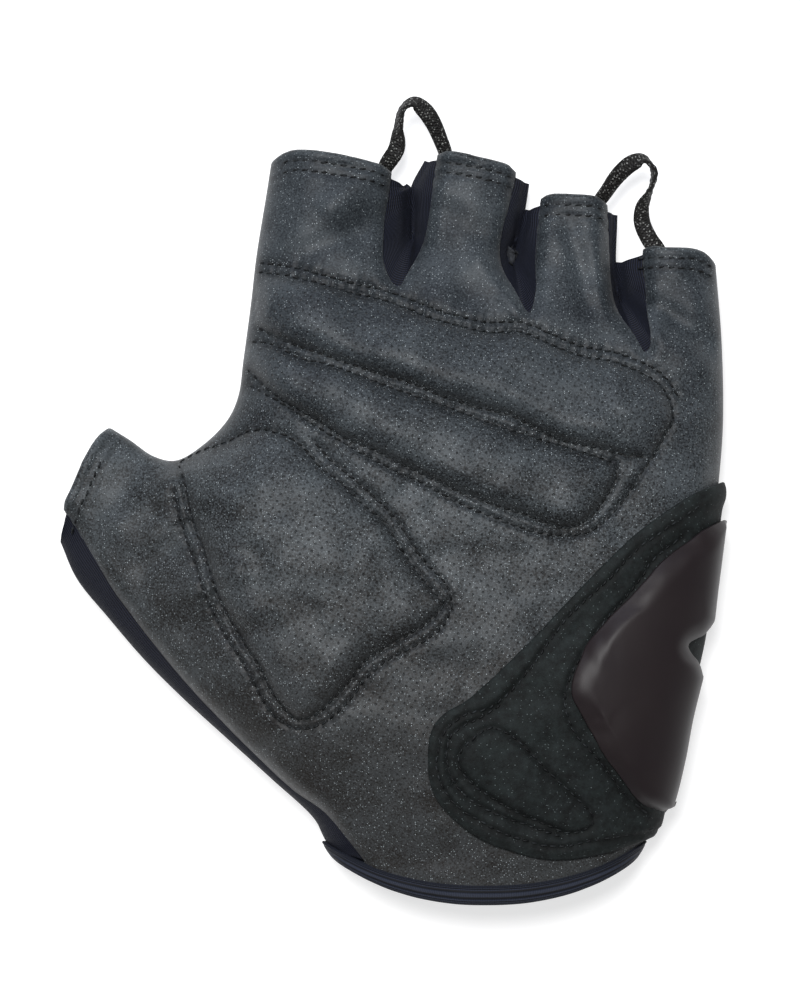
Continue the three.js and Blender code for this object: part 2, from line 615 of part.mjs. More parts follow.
// Triangles between plan points such that no point lies in another triangle's circle.
function triangulate(points) {
  const FAR = 1e5;
  const all = [...points, flat(-FAR, -FAR), flat(FAR, -FAR), flat(0, FAR)];
  const circled = (a, b, c) => {
    const [p, q, r] = [all[a], all[b], all[c]];
    const [bx, by, cx, cy] = [q.x - p.x, q.y - p.y, r.x - p.x, r.y - p.y];
    const d = 2 * (bx * cy - by * cx);
    const ux = (cy * (bx * bx + by * by) - by * (cx * cx + cy * cy)) / d;
    const uy = (bx * (cx * cx + cy * cy) - cx * (bx * bx + by * by)) / d;
    return { face: [a, b, c], x: p.x + ux, y: p.y + uy, square: ux * ux + uy * uy };
  };
  let triangles = [circled(points.length, points.length + 1, points.length + 2)];
  points.forEach((p, i) => {
    const rim = new Map();
    const kept = [];
    for (const t of triangles) {
      if ((p.x - t.x) ** 2 + (p.y - t.y) ** 2 >= t.square) {
        kept.push(t);
      } else {
        t.face.forEach((a, k) => {
          const b = t.face[(k + 1) % 3];
          if (!rim.delete(`${b} ${a}`)) rim.set(`${a} ${b}`, [a, b]);
        });
      }
    }
    rim.forEach(([a, b]) => kept.push(circled(a, b, i)));
    triangles = kept;
  });
  return triangles.map((t) => t.face).filter((f) => f.every((v) => v < points.length));
}

// Net of facets over the palm or the back. Its corners lie on the boundary, on the outlines
// of what is sewn to it, in rings along the steep sides and in a staggered grid between.
const JITTER = 0.02;
function makeNet(side) {
  const legs = boundaryLegs(side);
  const rim = legs.flatMap((leg) => leg.points);
  const points = [...rim];
  const outlines = side === 'top' ? [patchEdge, gelEdge, notchEdge] : [];
  const loops = side === 'top' ? padLoops : [];
  const closedRim = [...rim, rim[0]];
  const lines = [...outlines, ...loops.map((loop) => [...loop, loop[0]])];
  const clearOfPoints = (p, gap) => points.every((q) => (q.x - p.x) ** 2 + (q.y - p.y) ** 2 > gap * gap);
  const clearOfLines = (p, gap) => lines.every((l) => distanceTo(l, p.x, p.y) > gap);
  const add = (p, gap) => {
    if (isInside(rim, p.x, p.y) && clearOfPoints(p, gap)) points.push(p);
  };
  outlines.forEach((line) => line.forEach((p) => add(p, 0.3)));
  loops.forEach((loop) => loop.forEach((p) => {
    if (distanceTo(closedRim, p.x, p.y) > 1.2) add(p, 1.0);
  }));
  if (side === 'top') {
    const crests = [...padLoops.map((loop) => shrunk(loop, PAD_EDGE)), shrunk(gelLoop, GEL_BEVEL)];
    crests.forEach((loop) => loop.forEach((p) => {
      if (clearOfLines(p, 0.6 * PAD_EDGE)) add(p, 1.7);
    }));
  }
  legs.filter((leg) => leg.steep).forEach((leg) => {
    const others = legs.filter((l) => l !== leg).flatMap((l) => l.points);
    leg.points.forEach((p, i) => {
      if (i === 0 || i === leg.points.length - 1) return;
      const along = leg.points[i + 1].clone().sub(leg.points[i - 1]).normalize();
      RINGS.forEach((depth) => {
        const q = p.clone().add(flat(-along.y, along.x).multiplyScalar(depth));
        const clearOfHems = others.every((o) => o.distanceTo(q) > Math.min(1.5, 0.5 + depth));
        if (clearOfHems && clearOfLines(q, 1.3)) add(q, Math.min(0.35, 0.9 * depth));
      });
    });
  });
  const step = side === 'top' ? PALM_STEP : BACK_STEP;
  const steepLines = legs.filter((leg) => leg.steep).map((leg) => leg.points);
  const inRings = RINGS[RINGS.length - 1];
  for (let row = -14; row <= 16; row += 1) {
    for (let column = -18; column <= 12; column += 1) {
      const wobble = JITTER * Math.sin(12.9 * row + 7.3 * column);
      const p = flat((column + (row % 2 ? 0.5 : 0)) * step + wobble, row * step * 0.866 - wobble);
      const clearOfSides = steepLines.every((l) => distanceTo(l, p.x, p.y) > inRings + 0.4 * step);
      if (clearOfSides && clearOfLines(p, 0.42 * step) && distanceTo(closedRim, p.x, p.y) > 0.4 * step) {
        add(p, 0.55 * step);
      }
    }
  }
  const wound = side === 'top' ? (f) => f : ([a, b, c]) => [a, c, b];
  const middle = (f, axis) => f.reduce((sum, v) => sum + points[v][axis] / 3, 0);
  const faces = triangulate(points).filter((f) => isInside(rim, middle(f, 'x'), middle(f, 'y'))).map(wound);
  const places = points.map((p) => lift(p, side));
  return { places, faces, normals: netNormals(places, faces, places.map(() => side)) };
}

const nearestSide = (p) => Math.min(...silhouette.map((line) => distanceTo(line, p.x, p.y)));

// Normal of the palm side or of the back side at a plan point.
function skinNormal(x, y, side) {
  const STEP = 0.4;
  const slope = (dx, dy) => (skin(x + dx, y + dy)[side] - skin(x - dx, y - dy)[side]) / (2 * STEP);
  const normal = new THREE.Vector3(-slope(STEP, 0), -slope(0, STEP), 1).normalize();
  return side === 'top' ? normal : normal.negate();
}

// Normals at the corners of a net: read from the skin, so that neighbours agree along their
// seams, but from the facets close to a side, and level on the side itself.
const FACET_MARGIN = 0.7;
function netNormals(places, faces, sides) {
  const normals = places.map(() => new THREE.Vector3());
  faces.forEach(([a, b, c]) => {
    const cross = places[b].clone().sub(places[a]).cross(places[c].clone().sub(places[a]));
    [a, b, c].forEach((v) => normals[v].add(cross));
  });
  return normals.map((n, v) => {
    const nearest = nearestSide(places[v]);
    if (nearest > FACET_MARGIN) return skinNormal(places[v].x, places[v].y, sides[v]);
    return (nearest < 0.05 ? n.setZ(0) : n).normalize();
  });
}

function solid(places, faces) {
  const geometry = new THREE.BufferGeometry();
  geometry.setAttribute('position', new THREE.Float32BufferAttribute(places.flatMap((p) => [p.x, p.y, p.z]), 3));
  geometry.setIndex(faces.flat());
  return geometry;
}

// Closed layer over the facets of a net that lie in a region: an outer face and an inner
// face, each a function of a corner's place and normal, joined by a rim.
function layer(net, isKept, outer, inner) {
  const centre = (f) => f.reduce((sum, v) => sum.addScaledVector(net.places[v], 1 / 3), new THREE.Vector3());
  const faces = net.faces.filter((f) => isKept(centre(f)));
  const used = [...new Set(faces.flat())];
  const slot = new Map(used.map((v, i) => [v, i]));
  const count = used.length;
  const places = [outer, inner].flatMap((face) => used.map((v) => face(net.places[v], net.normals[v])));
  const edges = new Map();
  const all = [];
  faces.map((f) => f.map((v) => slot.get(v))).forEach(([a, b, c]) => {
    all.push([a, b, c], [a + count, c + count, b + count]);
    [[a, b], [b, c], [c, a]].forEach(([p, q]) => {
      if (!edges.delete(`${q} ${p}`)) edges.set(`${p} ${q}`, [p, q]);
    });
  });
  edges.forEach(([p, q]) => all.push([q, p, p + count], [q, p + count, q + count]));
  return solid(places, all);
}
const raised = (amount) => (p, n) => p.clone().addScaledVector(n, amount);

// Ribbon that wraps a side: from its seam on top, over the silhouette, to its seam beneath.
// The three curves run the same way; knees say where each turns, as shares of their lengths.
// The rows are taken backwards where the silhouette lies to the right of that way.
const RIBBON_COLUMNS = 3;
function ribbon(curves, count, knees, isBackwards) {
  const rows = range(count + 1).map((i) => {
    const along = isBackwards ? 1 - i / count : i / count;
    const [a, b, c] = curves.map((curve, k) => kneed(curve, knees[k], along));
    const shares = range(RIBBON_COLUMNS).map((j) => 1 - (1 - j / RIBBON_COLUMNS) ** 2);
    const upper = shares.map((s) => lift(a.clone().lerp(b, s), 'top'));
    const lower = shares.map((s) => lift(c.clone().lerp(b, s), 'bottom')).reverse();
    return [...upper, b.clone().setZ(skin(b.x, b.y).seam), ...lower];
  });
  const wide = rows[0].length;
  const places = rows.flat();
  const faces = range(count).flatMap((i) => range(wide - 1).flatMap((j) => {
    const a = i * wide + j;
    return [[a, a + wide, a + wide + 1], [a, a + wide + 1, a + 1]];
  }));
  const sides = places.map((_, v) => (v % wide < RIBBON_COLUMNS ? 'top' : 'bottom'));
  const net = { places, faces, normals: netNormals(places, faces, sides) };
  return layer(net, () => true, raised(0), raised(-KNIT));
}

const palmNet = makeNet('top');
const backNet = makeNet('bottom');
const palmPanel = layer(palmNet, () => true, raised(0), raised(-SUEDE));
const backPanel = layer(backNet, () => true, raised(0), raised(-KNIT));

// Foam pads: their upper face keeps a gap under the suede, their lower face is nearly flat.
const foamTop = raised(-SUEDE - LAYER_GAP);
const foams = PADS.map((pad, k) => layer(
  palmNet,
  (p) => isInside(padLoops[k], p.x, p.y),
  foamTop,
  (p, n) => foamTop(p, n).sub(new THREE.Vector3(0, 0, PAD_SKIRT + pad.rise * PAD_RISE * padShape(pad, p.x, p.y))),
));

const heelPatch = layer(
  palmNet,
  (p) => isInside(patchLoop, p.x, p.y),
  raised(LAYER_GAP + PATCH),
  raised(LAYER_GAP),
);
const gelFoot = 2 * LAYER_GAP + PATCH;
const closedGel = [...gelLoop, gelLoop[0]];
const gelHeight = (p) => mix(GEL_EDGE, GEL_RISE, clamp01(distanceTo(closedGel, p.x, p.y) / (0.9 * GEL_BEVEL)));
const gelPad = layer(
  palmNet,
  (p) => isInside(gelLoop, p.x, p.y),
  (p, n) => p.clone().addScaledVector(n, gelFoot + gelHeight(p)),
  raised(gelFoot),
);

const gussetBodies = gussets.map((g) => {
  const curves = [gussetSeam(g, 'top'), g.crease, gussetSeam(g, 'bottom')];
  const tips = [g.notch, g.bottom, underTip(g)];
  return ribbon(curves, GUSSET_ROWS, curves.map((c, i) => shareNear(c, tips[i])), false);
});
const sideEnd = 1 - panelFoot / thumbSide.getLength();
const sideEdge = curveThrough(range(41).map((i) => thumbSide.getPointAt((i / 40) * sideEnd)));
const stripCurves = [stripSeam('top'), sideEdge, stripSeam('bottom')];
const sideGusset = ribbon(stripCurves, STRIP_ROWS, [0.5, 0.5, 0.5], true);

// Elastic band round the wrist: a rounded flat section carried round the opening.
const CUFF_SECTION = [
  { up: 0.0, out: 0.15 },
  { up: 0.12, out: 0.42 },
  { up: 0.88, out: 0.42 },
  { up: 1.0, out: 0.15 },
  { up: 1.0, out: -0.3 },
  { up: 0.88, out: -0.58 },
  { up: 0.12, out: -0.58 },
  { up: 0.0, out: -0.3 },
];
const CUFF_STEPS = 18;
function cuffBinding() {
  const shares = range(CUFF_STEPS + 1).map((i) => (1 - Math.cos((Math.PI * i) / CUFF_STEPS)) / 2);
  const proud = CUFF_THICKNESS * Math.max(...CUFF_SECTION.map((c) => c.out));
  const around = [
    ...shares.map((s) => ({ s, side: s === 0 || s === 1 ? 'seam' : 'bottom' })),
    ...shares.slice(1, -1).reverse().map((s) => ({ s, side: 'top' })),
  ];
  const columns = CUFF_SECTION.map(({ up, out }) => {
    const ring = around.map(({ s, side }) => {
      const p = lift(cuffPoint(s, up * CUFF_BAND), side);
      return p.setZ(Math.max(p.z, proud));
    });
    return ring.map((p, i) => {
      const along = ring[(i + 1) % ring.length].clone().sub(ring[(i + ring.length - 1) % ring.length]);
      const outward = new THREE.Vector3(along.z, 0, -along.x).normalize();
      return p.clone().addScaledVector(outward, out * CUFF_THICKNESS);
    });
  });
  return solid(columns.flat(), wrapFaces(columns.length, around.length, true));
}

// Faces of a grid whose columns close on themselves, and whose rows may close too.
function wrapFaces(rows, wide, isClosed) {
  const faces = range(isClosed ? rows : rows - 1).flatMap((i) => range(wide).flatMap((j) => {
    const next = (i + 1) % rows;
    const [a, b] = [i * wide + j, i * wide + ((j + 1) % wide)];
    const [c, d] = [next * wide + ((j + 1) % wide), next * wide + j];
    return [[a, c, b], [a, d, c]];
  }));
  const last = (rows - 1) * wide;
  const caps = isClosed ? [] : range(wide - 2).flatMap((j) =>
    [[0, j + 1, j + 2], [last, last + j + 2, last + j + 1]]);
  return [...faces, ...caps];
}

// Woven tape along its bends, with both ends tucked in under the hems.
const TAPE_SECTION = [
  { across: -0.5, through: -0.25 },
  { across: -0.42, through: -0.5 },
  { across: 0.42, through: -0.5 },
  { across: 0.5, through: -0.25 },
  { across: 0.5, through: 0.25 },
  { across: 0.42, through: 0.5 },
  { across: -0.42, through: 0.5 },
  { across: -0.5, through: 0.25 },
];
const TAPE_STEPS = 26;
const TAPE_GAP = 0.55;
function pullLoop({ rows }) {
  const under = SUEDE + TAPE_GAP + TAPE_THICKNESS / 2;
  const ends = [rows[0], rows[rows.length - 1]].map((r) => {
    const onSkin = lift(flat(r.x * halfPalm, r.y * halfPalm), 'top');
    const normal = skinNormal(onSkin.x, onSkin.y, 'top');
    return { normal, height: onSkin.z - under * normal.z, shift: flat(-under * normal.x, -under * normal.y) };
  });
  const places = rows.map((r, i) => {
    const s = i / (rows.length - 1);
    return flat(r.x * halfPalm, r.y * halfPalm)
      .addScaledVector(ends[0].shift, clamp01(1 - 3 * s))
      .addScaledVector(ends[1].shift, clamp01(3 * s - 2))
      .setZ(mix(ends[0].height, ends[1].height, s) + r.up * TAPE_WIDTH);
  });
  const tucked = (p) => p.clone().sub(flat(0, TAPE_TUCK));
  const curve = curveThrough([tucked(places[0]), ...places, tucked(places[places.length - 1])]);
  const turns = [rows[0].turn, ...rows.map((r) => r.turn), rows[rows.length - 1].turn];
  const turnAt = (t) => {
    const i = Math.min(turns.length - 2, Math.floor(t * (turns.length - 1)));
    return mix(turns[i], turns[i + 1], t * (turns.length - 1) - i);
  };
  const rings = range(TAPE_STEPS + 1).map((i) => {
    const t = i / TAPE_STEPS;
    const along = curve.getTangent(t);
    const base = ends[0].normal.clone().lerp(ends[1].normal, ease(t));
    const across = new THREE.Vector3().crossVectors(along, base).normalize();
    across.applyAxisAngle(along, turnAt(t) * DEGREE);
    const through = new THREE.Vector3().crossVectors(across, along).normalize();
    return TAPE_SECTION.map((c) => curve.getPoint(t)
      .addScaledVector(across, c.across * TAPE_WIDTH)
      .addScaledVector(through, c.through * TAPE_THICKNESS));
  });
  return solid(rings.flat(), wrapFaces(rings.length, TAPE_SECTION.length, false));
}

const glove = new THREE.Group();
glove.name = 'cycling_glove';
function addPart(name, geometry, color, roughness) {
  const faceted = geometry.toNonIndexed();
  faceted.computeVertexNormals();
  const mesh = new THREE.Mesh(faceted, new THREE.MeshStandardMaterial({ color, roughness, metalness: 0 }));
  mesh.name = name;
  glove.add(mesh);
}

const SUEDE_COLOR = '#4a4e52';
const KNIT_COLOR = '#1d1f2d';
const BACK_COLOR = '#23252c';
const PATCH_COLOR = '#262e31';
const GEL_COLOR = '#2a2324';
const FOAM_COLOR = '#3a3c3e';
const ELASTIC_COLOR = '#232632';
const TAPE_COLOR = '#2f2d2c';

addPart('palm_panel', palmPanel, SUEDE_COLOR, 0.85);
addPart('back_panel', backPanel, BACK_COLOR, 0.9);
gussetBodies.forEach((body, k) => addPart(gussets[k].name, body, KNIT_COLOR, 0.85));
addPart('thumb_side_gusset', sideGusset, KNIT_COLOR, 0.85);
foams.forEach((body, k) => addPart(PADS[k].name, body, FOAM_COLOR, 0.95));
addPart('heel_patch', heelPatch, PATCH_COLOR, 0.7);
addPart('gel_pad', gelPad, GEL_COLOR, 0.3);
addPart('cuff_binding', cuffBinding(), ELASTIC_COLOR, 0.85);
PULL_LOOPS.forEach((loop) => addPart(loop.name, pullLoop(loop), TAPE_COLOR, 0.9));

export default glove;
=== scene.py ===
"""A short-finger cycling glove for the left hand, lying on its back with the palm up.

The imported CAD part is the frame. Its cloth follows one skin over the plan outline: an upper
and a lower height that meet at the sides. The same skin is restated here on fine nets, and
each panel gets its seams, stitches, padding, folds and finish.

Plan places and heights are in millimetres, and become metres where a mesh is made.
"""

import logging
import math
from dataclasses import dataclass, field
from enum import Enum
from typing import Any, Callable, Sequence

import bpy
import numpy as np
from bpy.types import Material, Node, NodeSocket, NodeTree, Object
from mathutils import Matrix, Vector
from mathutils.geometry import delaunay_2d_cdt


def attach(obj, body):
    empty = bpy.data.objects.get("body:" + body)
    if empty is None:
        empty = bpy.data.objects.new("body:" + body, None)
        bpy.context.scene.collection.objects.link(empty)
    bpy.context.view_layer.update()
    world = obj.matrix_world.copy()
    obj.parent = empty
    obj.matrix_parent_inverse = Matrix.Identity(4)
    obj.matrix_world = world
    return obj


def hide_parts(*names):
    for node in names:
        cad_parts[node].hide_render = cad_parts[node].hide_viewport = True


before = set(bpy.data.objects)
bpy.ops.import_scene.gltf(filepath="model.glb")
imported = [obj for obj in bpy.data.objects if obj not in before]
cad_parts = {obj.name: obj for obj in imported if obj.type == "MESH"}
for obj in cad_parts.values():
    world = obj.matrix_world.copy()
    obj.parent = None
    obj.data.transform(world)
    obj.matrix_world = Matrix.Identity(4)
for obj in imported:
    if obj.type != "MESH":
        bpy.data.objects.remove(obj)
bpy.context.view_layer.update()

log = logging.getLogger("glove")

MM = 0.001
Array = np.ndarray
Table = Sequence[Sequence[float]]

# --- Sizes of the pattern, as in the CAD part ---------------------------------------------
FINGER_GAP = 1.0
STUB_LENGTH = 22.0
THUMB_REACH = 38.2
THUMB_HEIGHT = 15.6
THUMB_OPENING = 26.5
THUMB_SPLAY = math.radians(24.3)
THUMB_BOW = 0.05
CROTCH_HEIGHT = 20.9
CUFF_REACH = 71.6
CUFF_WIDTH = 61.7
CUFF_OFFSET = -1.35
CUFF_BOW = 8.4
CUFF_ROUNDNESS = 2.3
CUFF_BAND = 5.0
CUFF_THICKNESS = 2.2
MIDDLE_REACH = 81.7
PALM_DEPTH = 29.0
SIDE_SEAM_HEIGHT = 12.5
SUEDE = 1.2
KNIT = 1.0
PATCH = 1.0
LAYER_GAP = 0.4
TOP_SOFTNESS = 13.5
UNDER_SOFTNESS = 6.5
UNDER_FILL = 1.3
RELIEF_MARGIN = 4.0
UNDER_BOW = 0.4
UNDER_SPREAD = 0.75
UNDER_NOTCH = 0.6
CREASE_DROP = 0.7
SIDE_UNDER = 0.24
THUMB_FLATTENING = 0.3
RUN_ON = 14.0
HALF_SEAM = 0.06
GATHER = 2.3
PLAIN = {"is_sewn": False, "has_pads": False}


@dataclass(frozen=True)
class Finger:
    """One finger's stub: its width, reach, hem tilt in degrees, corner insets and bow."""

    width: float
    reach: float
    tilt: float
    left_in: float
    right_in: float
    bow: float


@dataclass(frozen=True)
class Fork:
    """One gusset between two fingers, in shares of the stub's length."""

    name: str
    deep: float
    slant: float
    notch: float
    notch_slant: float
    left_hem: float
    left_wide: float
    right_hem: float
    right_wide: float


FINGERS = (
    Finger(30.0, 81.2, 8.8, 0.03, 0.027, 0.1),
    Finger(22.8, MIDDLE_REACH, 11.3, 0.127, -0.046, 0.09),
    Finger(18.3, 73.2, 3.1, 0.016, -0.019, 0.15),
    Finger(20.6, 62.3, 1.5, 0.01, 0.0, 0.12),
)
FORKS = (
    Fork("gusset_index_middle", 0.5, 0.0, 0.96, -0.13, 0.13, 0.27, 0.1, 0.12),
    Fork("gusset_middle_ring", 0.43, -0.1, 0.97, 0.04, 0.11, 0.13, 0.12, 0.2),
    Fork("gusset_ring_little", 0.36, 0.05, 0.85, 0.27, 0.07, 0.06, 0.22, 0.23),
)
# Sides in shares of their chord: how far along, how far out.
THUMB_SIDE = (
    (0.09, 0.028), (0.21, 0.033), (0.34, 0.034), (0.47, 0.025), (0.61, 0.009), (0.75, -0.007),
    (0.89, -0.02), (0.94, -0.007),
)
LITTLE_SIDE = (
    (0.13, 0.028), (0.26, 0.048), (0.35, 0.054), (0.45, 0.056), (0.53, 0.057), (0.62, 0.058),
    (0.75, 0.046), (0.82, 0.043), (0.89, 0.036), (0.94, 0.025),
)
# Crotch of the thumb: shares of the thumb's reach and of the index finger's height.
CROTCH = (
    (0.752, 0.071), (0.625, 0.016), (0.5, 0.0), (0.336, 0.061), (0.208, 0.147), (0.153, 0.228),
    (0.127, 0.349), (0.087, 0.541), (0.056, 0.715), (0.0, 0.94),
)
# Side gusset: along, inset in shares of the thumb's opening.
SIDE_STRIP = (
    (0.0, 0.26), (0.15, 0.2), (0.35, 0.155), (0.55, 0.1), (0.75, 0.066), (0.86, 0.09), (1.0, 0.3),
)
# Cross sections from cuff to hem: place, crown, height of the side seam.
SECTIONS = (
    (-1.0, 0.86, 0.88), (-0.8, 0.96, 0.96), (-0.45, 1.07, 1.0), (0.0, 1.0, 1.0),
    (0.5, 0.94, 0.86), (1.0, 0.77, 0.56),
)
# Outlines of the heel patch and the gel pad, in shares of half the palm's width.
HEEL_PATCH = (
    (0.894, 0.295), (0.726, 0.186), (0.576, 0.062), (0.412, -0.098), (0.215, -0.306),
    (0.064, -0.457), (-0.104, -0.61), (-0.206, -0.67), (-0.265, -0.755), (-0.255, -0.992),
    (-0.188, -1.093), (-0.06, -1.196), (0.193, -1.29), (0.35, -1.294), (0.5, -1.268),
)
GEL_PAD = (
    (0.92, 0.15), (0.836, 0.083), (0.724, -0.007), (0.611, -0.137), (0.498, -0.256),
    (0.383, -0.415), (0.335, -0.56), (0.37, -0.66), (0.456, -0.803), (0.568, -0.96),
    (0.66, -1.065),
)
PATCH_SPAN = (0.36, 0.945)
GEL_SPAN = (0.42, 0.9)
GEL_NOTCH = (0.585, 0.675, 4.4)
# Pull tapes: place in shares of half the palm's width, lift in tape widths, turn in degrees.
MIDDLE_LOOP = (
    (-0.441, 1.735, 0.0, 0), (-0.401, 1.827, 0.2, 45), (-0.405, 1.916, 0.3, 85),
    (-0.393, 2.004, 0.4, 80), (-0.348, 2.032, 0.4, 55), (-0.296, 1.996, 0.3, 25),
    (-0.268, 1.943, 0.2, 5), (-0.247, 1.867, 0.1, 0), (-0.237, 1.8, 0.0, 0),
)
LITTLE_LOOP = (
    (0.507, 1.575, 0.0, 0), (0.539, 1.641, 0.1, 0), (0.583, 1.713, 0.25, 10),
    (0.631, 1.761, 0.4, 25), (0.68, 1.774, 0.45, 50), (0.72, 1.725, 0.45, 80),
    (0.716, 1.677, 0.4, 85), (0.695, 1.62, 0.3, 70), (0.667, 1.565, 0.2, 40),
    (0.663, 1.499, 0.1, 15), (0.691, 1.428, 0.05, 0), (0.729, 1.366, 0.0, 0),
)

# --- Sewing lines on the palm, in millimetres from the palm's middle ----------------------
PAD_CROWN = (
    (-49.5, 60.5), (-43.4, 59.6), (-36.0, 57.8), (-29.5, 55.9), (-22.8, 54.4), (-17.1, 52.3),
    (-12.3, 50.4), (-6.0, 48.7), (-0.3, 47.5), (5.6, 47.7), (12.5, 44.9), (18.6, 42.6),
    (24.7, 41.6), (30.6, 39.3), (34.5, 37.0), (37.1, 33.0), (37.5, 29.2), (35.8, 26.0),
    (33.9, 22.5),
)
PAD_FOOT = (
    (33.9, 22.5), (30.8, 18.1), (26.6, 12.0), (21.1, 6.7), (16.9, 5.5), (11.4, 5.5), (5.4, 7.1),
    (-2.4, 10.1), (-7.7, 12.4), (-13.8, 15.8), (-19.2, 18.3), (-24.9, 21.2), (-30.6, 24.4),
    (-36.2, 27.7), (-42.1, 31.7), (-51.1, 37.0),
)
KNUCKLE_FOOT = (
    (-49.2, 48.7), (-43.6, 46.0), (-38.1, 43.9), (-31.6, 41.6), (-24.9, 39.3), (-17.3, 37.0),
    (-10.0, 34.0), (-2.4, 31.7), (3.7, 30.2), (7.2, 28.4), (13.8, 25.2), (23.4, 23.1),
    (27.4, 22.1), (31.4, 21.6),
)
PALM_CROWN = (
    (-50.7, 46.0), (-45.5, 44.9), (-40.0, 42.2), (-33.9, 40.7), (-27.8, 38.6), (-21.9, 36.3),
    (-15.4, 34.0), (-8.1, 31.5), (-2.4, 29.2), (7.2, 26.0), (15.4, 23.5), (21.7, 21.6),
    (25.1, 20.4),
)
PALM_FOOT = (
    (25.1, 20.4), (25.7, 18.5), (25.1, 16.0), (22.6, 12.0), (20.3, 9.2), (16.9, 7.1),
    (12.9, 7.1), (7.2, 9.5), (3.7, 10.5), (-2.4, 12.6), (-8.1, 14.9), (-13.8, 17.6),
    (-19.0, 20.2), (-24.9, 23.1), (-31.0, 25.8), (-36.2, 29.2), (-42.9, 33.0), (-47.4, 36.3),
    (-51.6, 40.3),
)
THENAR_CROWN = (
    (-65.8, 20.4), (-62.1, 22.5), (-55.1, 25.0), (-51.1, 26.9), (-47.6, 27.3), (-42.5, 25.8),
    (-38.7, 22.9), (-35.4, 19.1), (-31.6, 16.4), (-27.8, 12.6), (-22.4, 7.8), (-19.6, 3.4),
    (-17.3, 0.0), (-14.0, -4.2), (-9.8, -9.0),
)
THENAR_FOOT = (
    (-9.8, -9.0), (-14.0, -13.0), (-20.3, -16.8), (-26.8, -21.0), (-29.1, -24.2),
    (-33.1, -28.6), (-37.3, -32.1), (-40.8, -32.6), (-45.3, -27.9), (-48.6, -21.4),
    (-50.7, -18.5), (-53.0, -14.7), (-56.4, -8.6), (-58.3, -3.4), (-60.2, 2.5), (-62.7, 8.8),
    (-64.2, 16.0), (-65.8, 20.4),
)
PATCH_OUTER_ROW = (
    (43.2, 11.6), (35.4, 6.3), (29.9, 2.5), (23.4, -4.2), (16.5, -10.5), (12.7, -15.1),
    (8.1, -21.4), (3.9, -26.5), (-0.7, -30.2), (-6.2, -31.9), (-10.0, -35.1), (-11.4, -38.9),
    (-11.7, -42.4), (-10.6, -46.2), (-7.7, -50.2), (-2.4, -53.8), (4.9, -57.3), (13.3, -59.2),
    (20.7, -58.0), (28.0, -57.1), (34.3, -55.9),
)
PATCH_INNER_ROW = (
    (1.8, -29.6), (-2.4, -32.1), (-6.2, -34.0), (-8.7, -36.1), (-9.6, -39.9), (-8.5, -44.7),
    (-5.6, -48.5), (-1.4, -51.2), (1.8, -52.7), (8.1, -55.0), (14.4, -57.1),
)
PATCH_LOZENGE = (
    (-3.3, -35.7), (-0.5, -34.4), (2.0, -34.9), (6.4, -38.2), (11.2, -43.3), (15.2, -47.0),
    (18.4, -50.2), (20.5, -52.3), (20.5, -54.6), (18.4, -55.9), (15.2, -56.3), (11.2, -54.6),
    (6.4, -52.5), (-0.9, -48.5), (-4.9, -45.4), (-7.2, -41.8), (-6.4, -38.9), (-3.3, -35.7),
)
GEL_ROW = (
    (38.7, 4.6), (33.3, 0.4), (30.8, -3.2), (27.4, -7.6), (24.3, -10.9), (21.5, -14.5),
    (18.6, -18.9), (16.1, -23.3), (14.8, -28.4), (15.9, -33.6), (18.2, -37.2), (22.8, -42.2),
    (26.6, -47.5), (30.3, -51.0), (33.7, -54.2),
)
# Distance of the second row from the first, beside the knuckle pad and round the thenar pad.
KNUCKLE_CHANNEL = 2.0
THENAR_CHANNEL = 2.5
# Double rows along the hems, as the distance of each row below the hem's edge.
HEM_ROWS = (1.4, 3.5)
# Soft folds: from, to, half width and rise (a dent is negative), all in millimetres.
FOLDS = (
    (-78.6, 7.6, -66.3, 17.0, 2.8, 1.3), (-72.0, -1.0, -57.8, 9.5, 3.2, -1.4),
    (-67.2, -7.6, -53.0, -2.4, 3.0, 1.5), (-63.4, -15.2, -47.4, -13.3, 3.2, -1.2),
    (-45.0, 61.6, -23.7, 71.0, 3.2, -1.4), (-33.3, 73.9, -24.0, 81.0, 2.8, 1.2),
    (31.3, 54.9, 45.5, 46.4, 2.6, -1.4), (33.1, 46.4, 46.4, 38.8, 2.8, 1.2),
    (-2.4, 62.5, 4.7, 53.0, 2.8, 1.1), (16.3, 69.5, 19.9, 53.5, 2.3, -1.1),
    (22.0, 66.0, 24.5, 50.0, 2.3, 0.9), (-10.0, 74.0, 1.0, 66.0, 2.8, -1.0),
)

# --- Small mathematics --------------------------------------------------------------------


def ease(t: Array) -> Array:
    """Smooth step from 0 to 1: 3t^2 - 2t^3, held at both ends."""
    t = np.clip(t, 0.0, 1.0)
    return t * t * (3 - 2 * t)


def unit(v: Array) -> Array:
    """Vectors of the last axis, brought to length 1."""
    return v / np.maximum(np.linalg.norm(v, axis=-1, keepdims=True), 1e-12)


def left_of(v: Array) -> Array:
    """Plan vectors turned a quarter turn to the left."""
    return np.stack([-v[..., 1], v[..., 0]], axis=-1)


def run_lengths(points: Array) -> Array:
    """Length of a polyline up to each of its points."""
    return np.concatenate([[0.0], np.cumsum(np.linalg.norm(np.diff(points, axis=0), axis=1))])


def read_along(points: Array, lengths: Array, at: Any) -> Array:
    """Places of a polyline at lengths along it."""
    return np.stack([np.interp(at, lengths, axis) for axis in points.T], axis=-1)


def gathers(arc: Array, slow: float, share: float) -> Array:
    """Wave of the small gathers along a seam: a quick wave and a share of a slower one."""
    return np.sin(2 * math.pi * arc / GATHER) + share * np.sin(2 * math.pi * arc / slow)


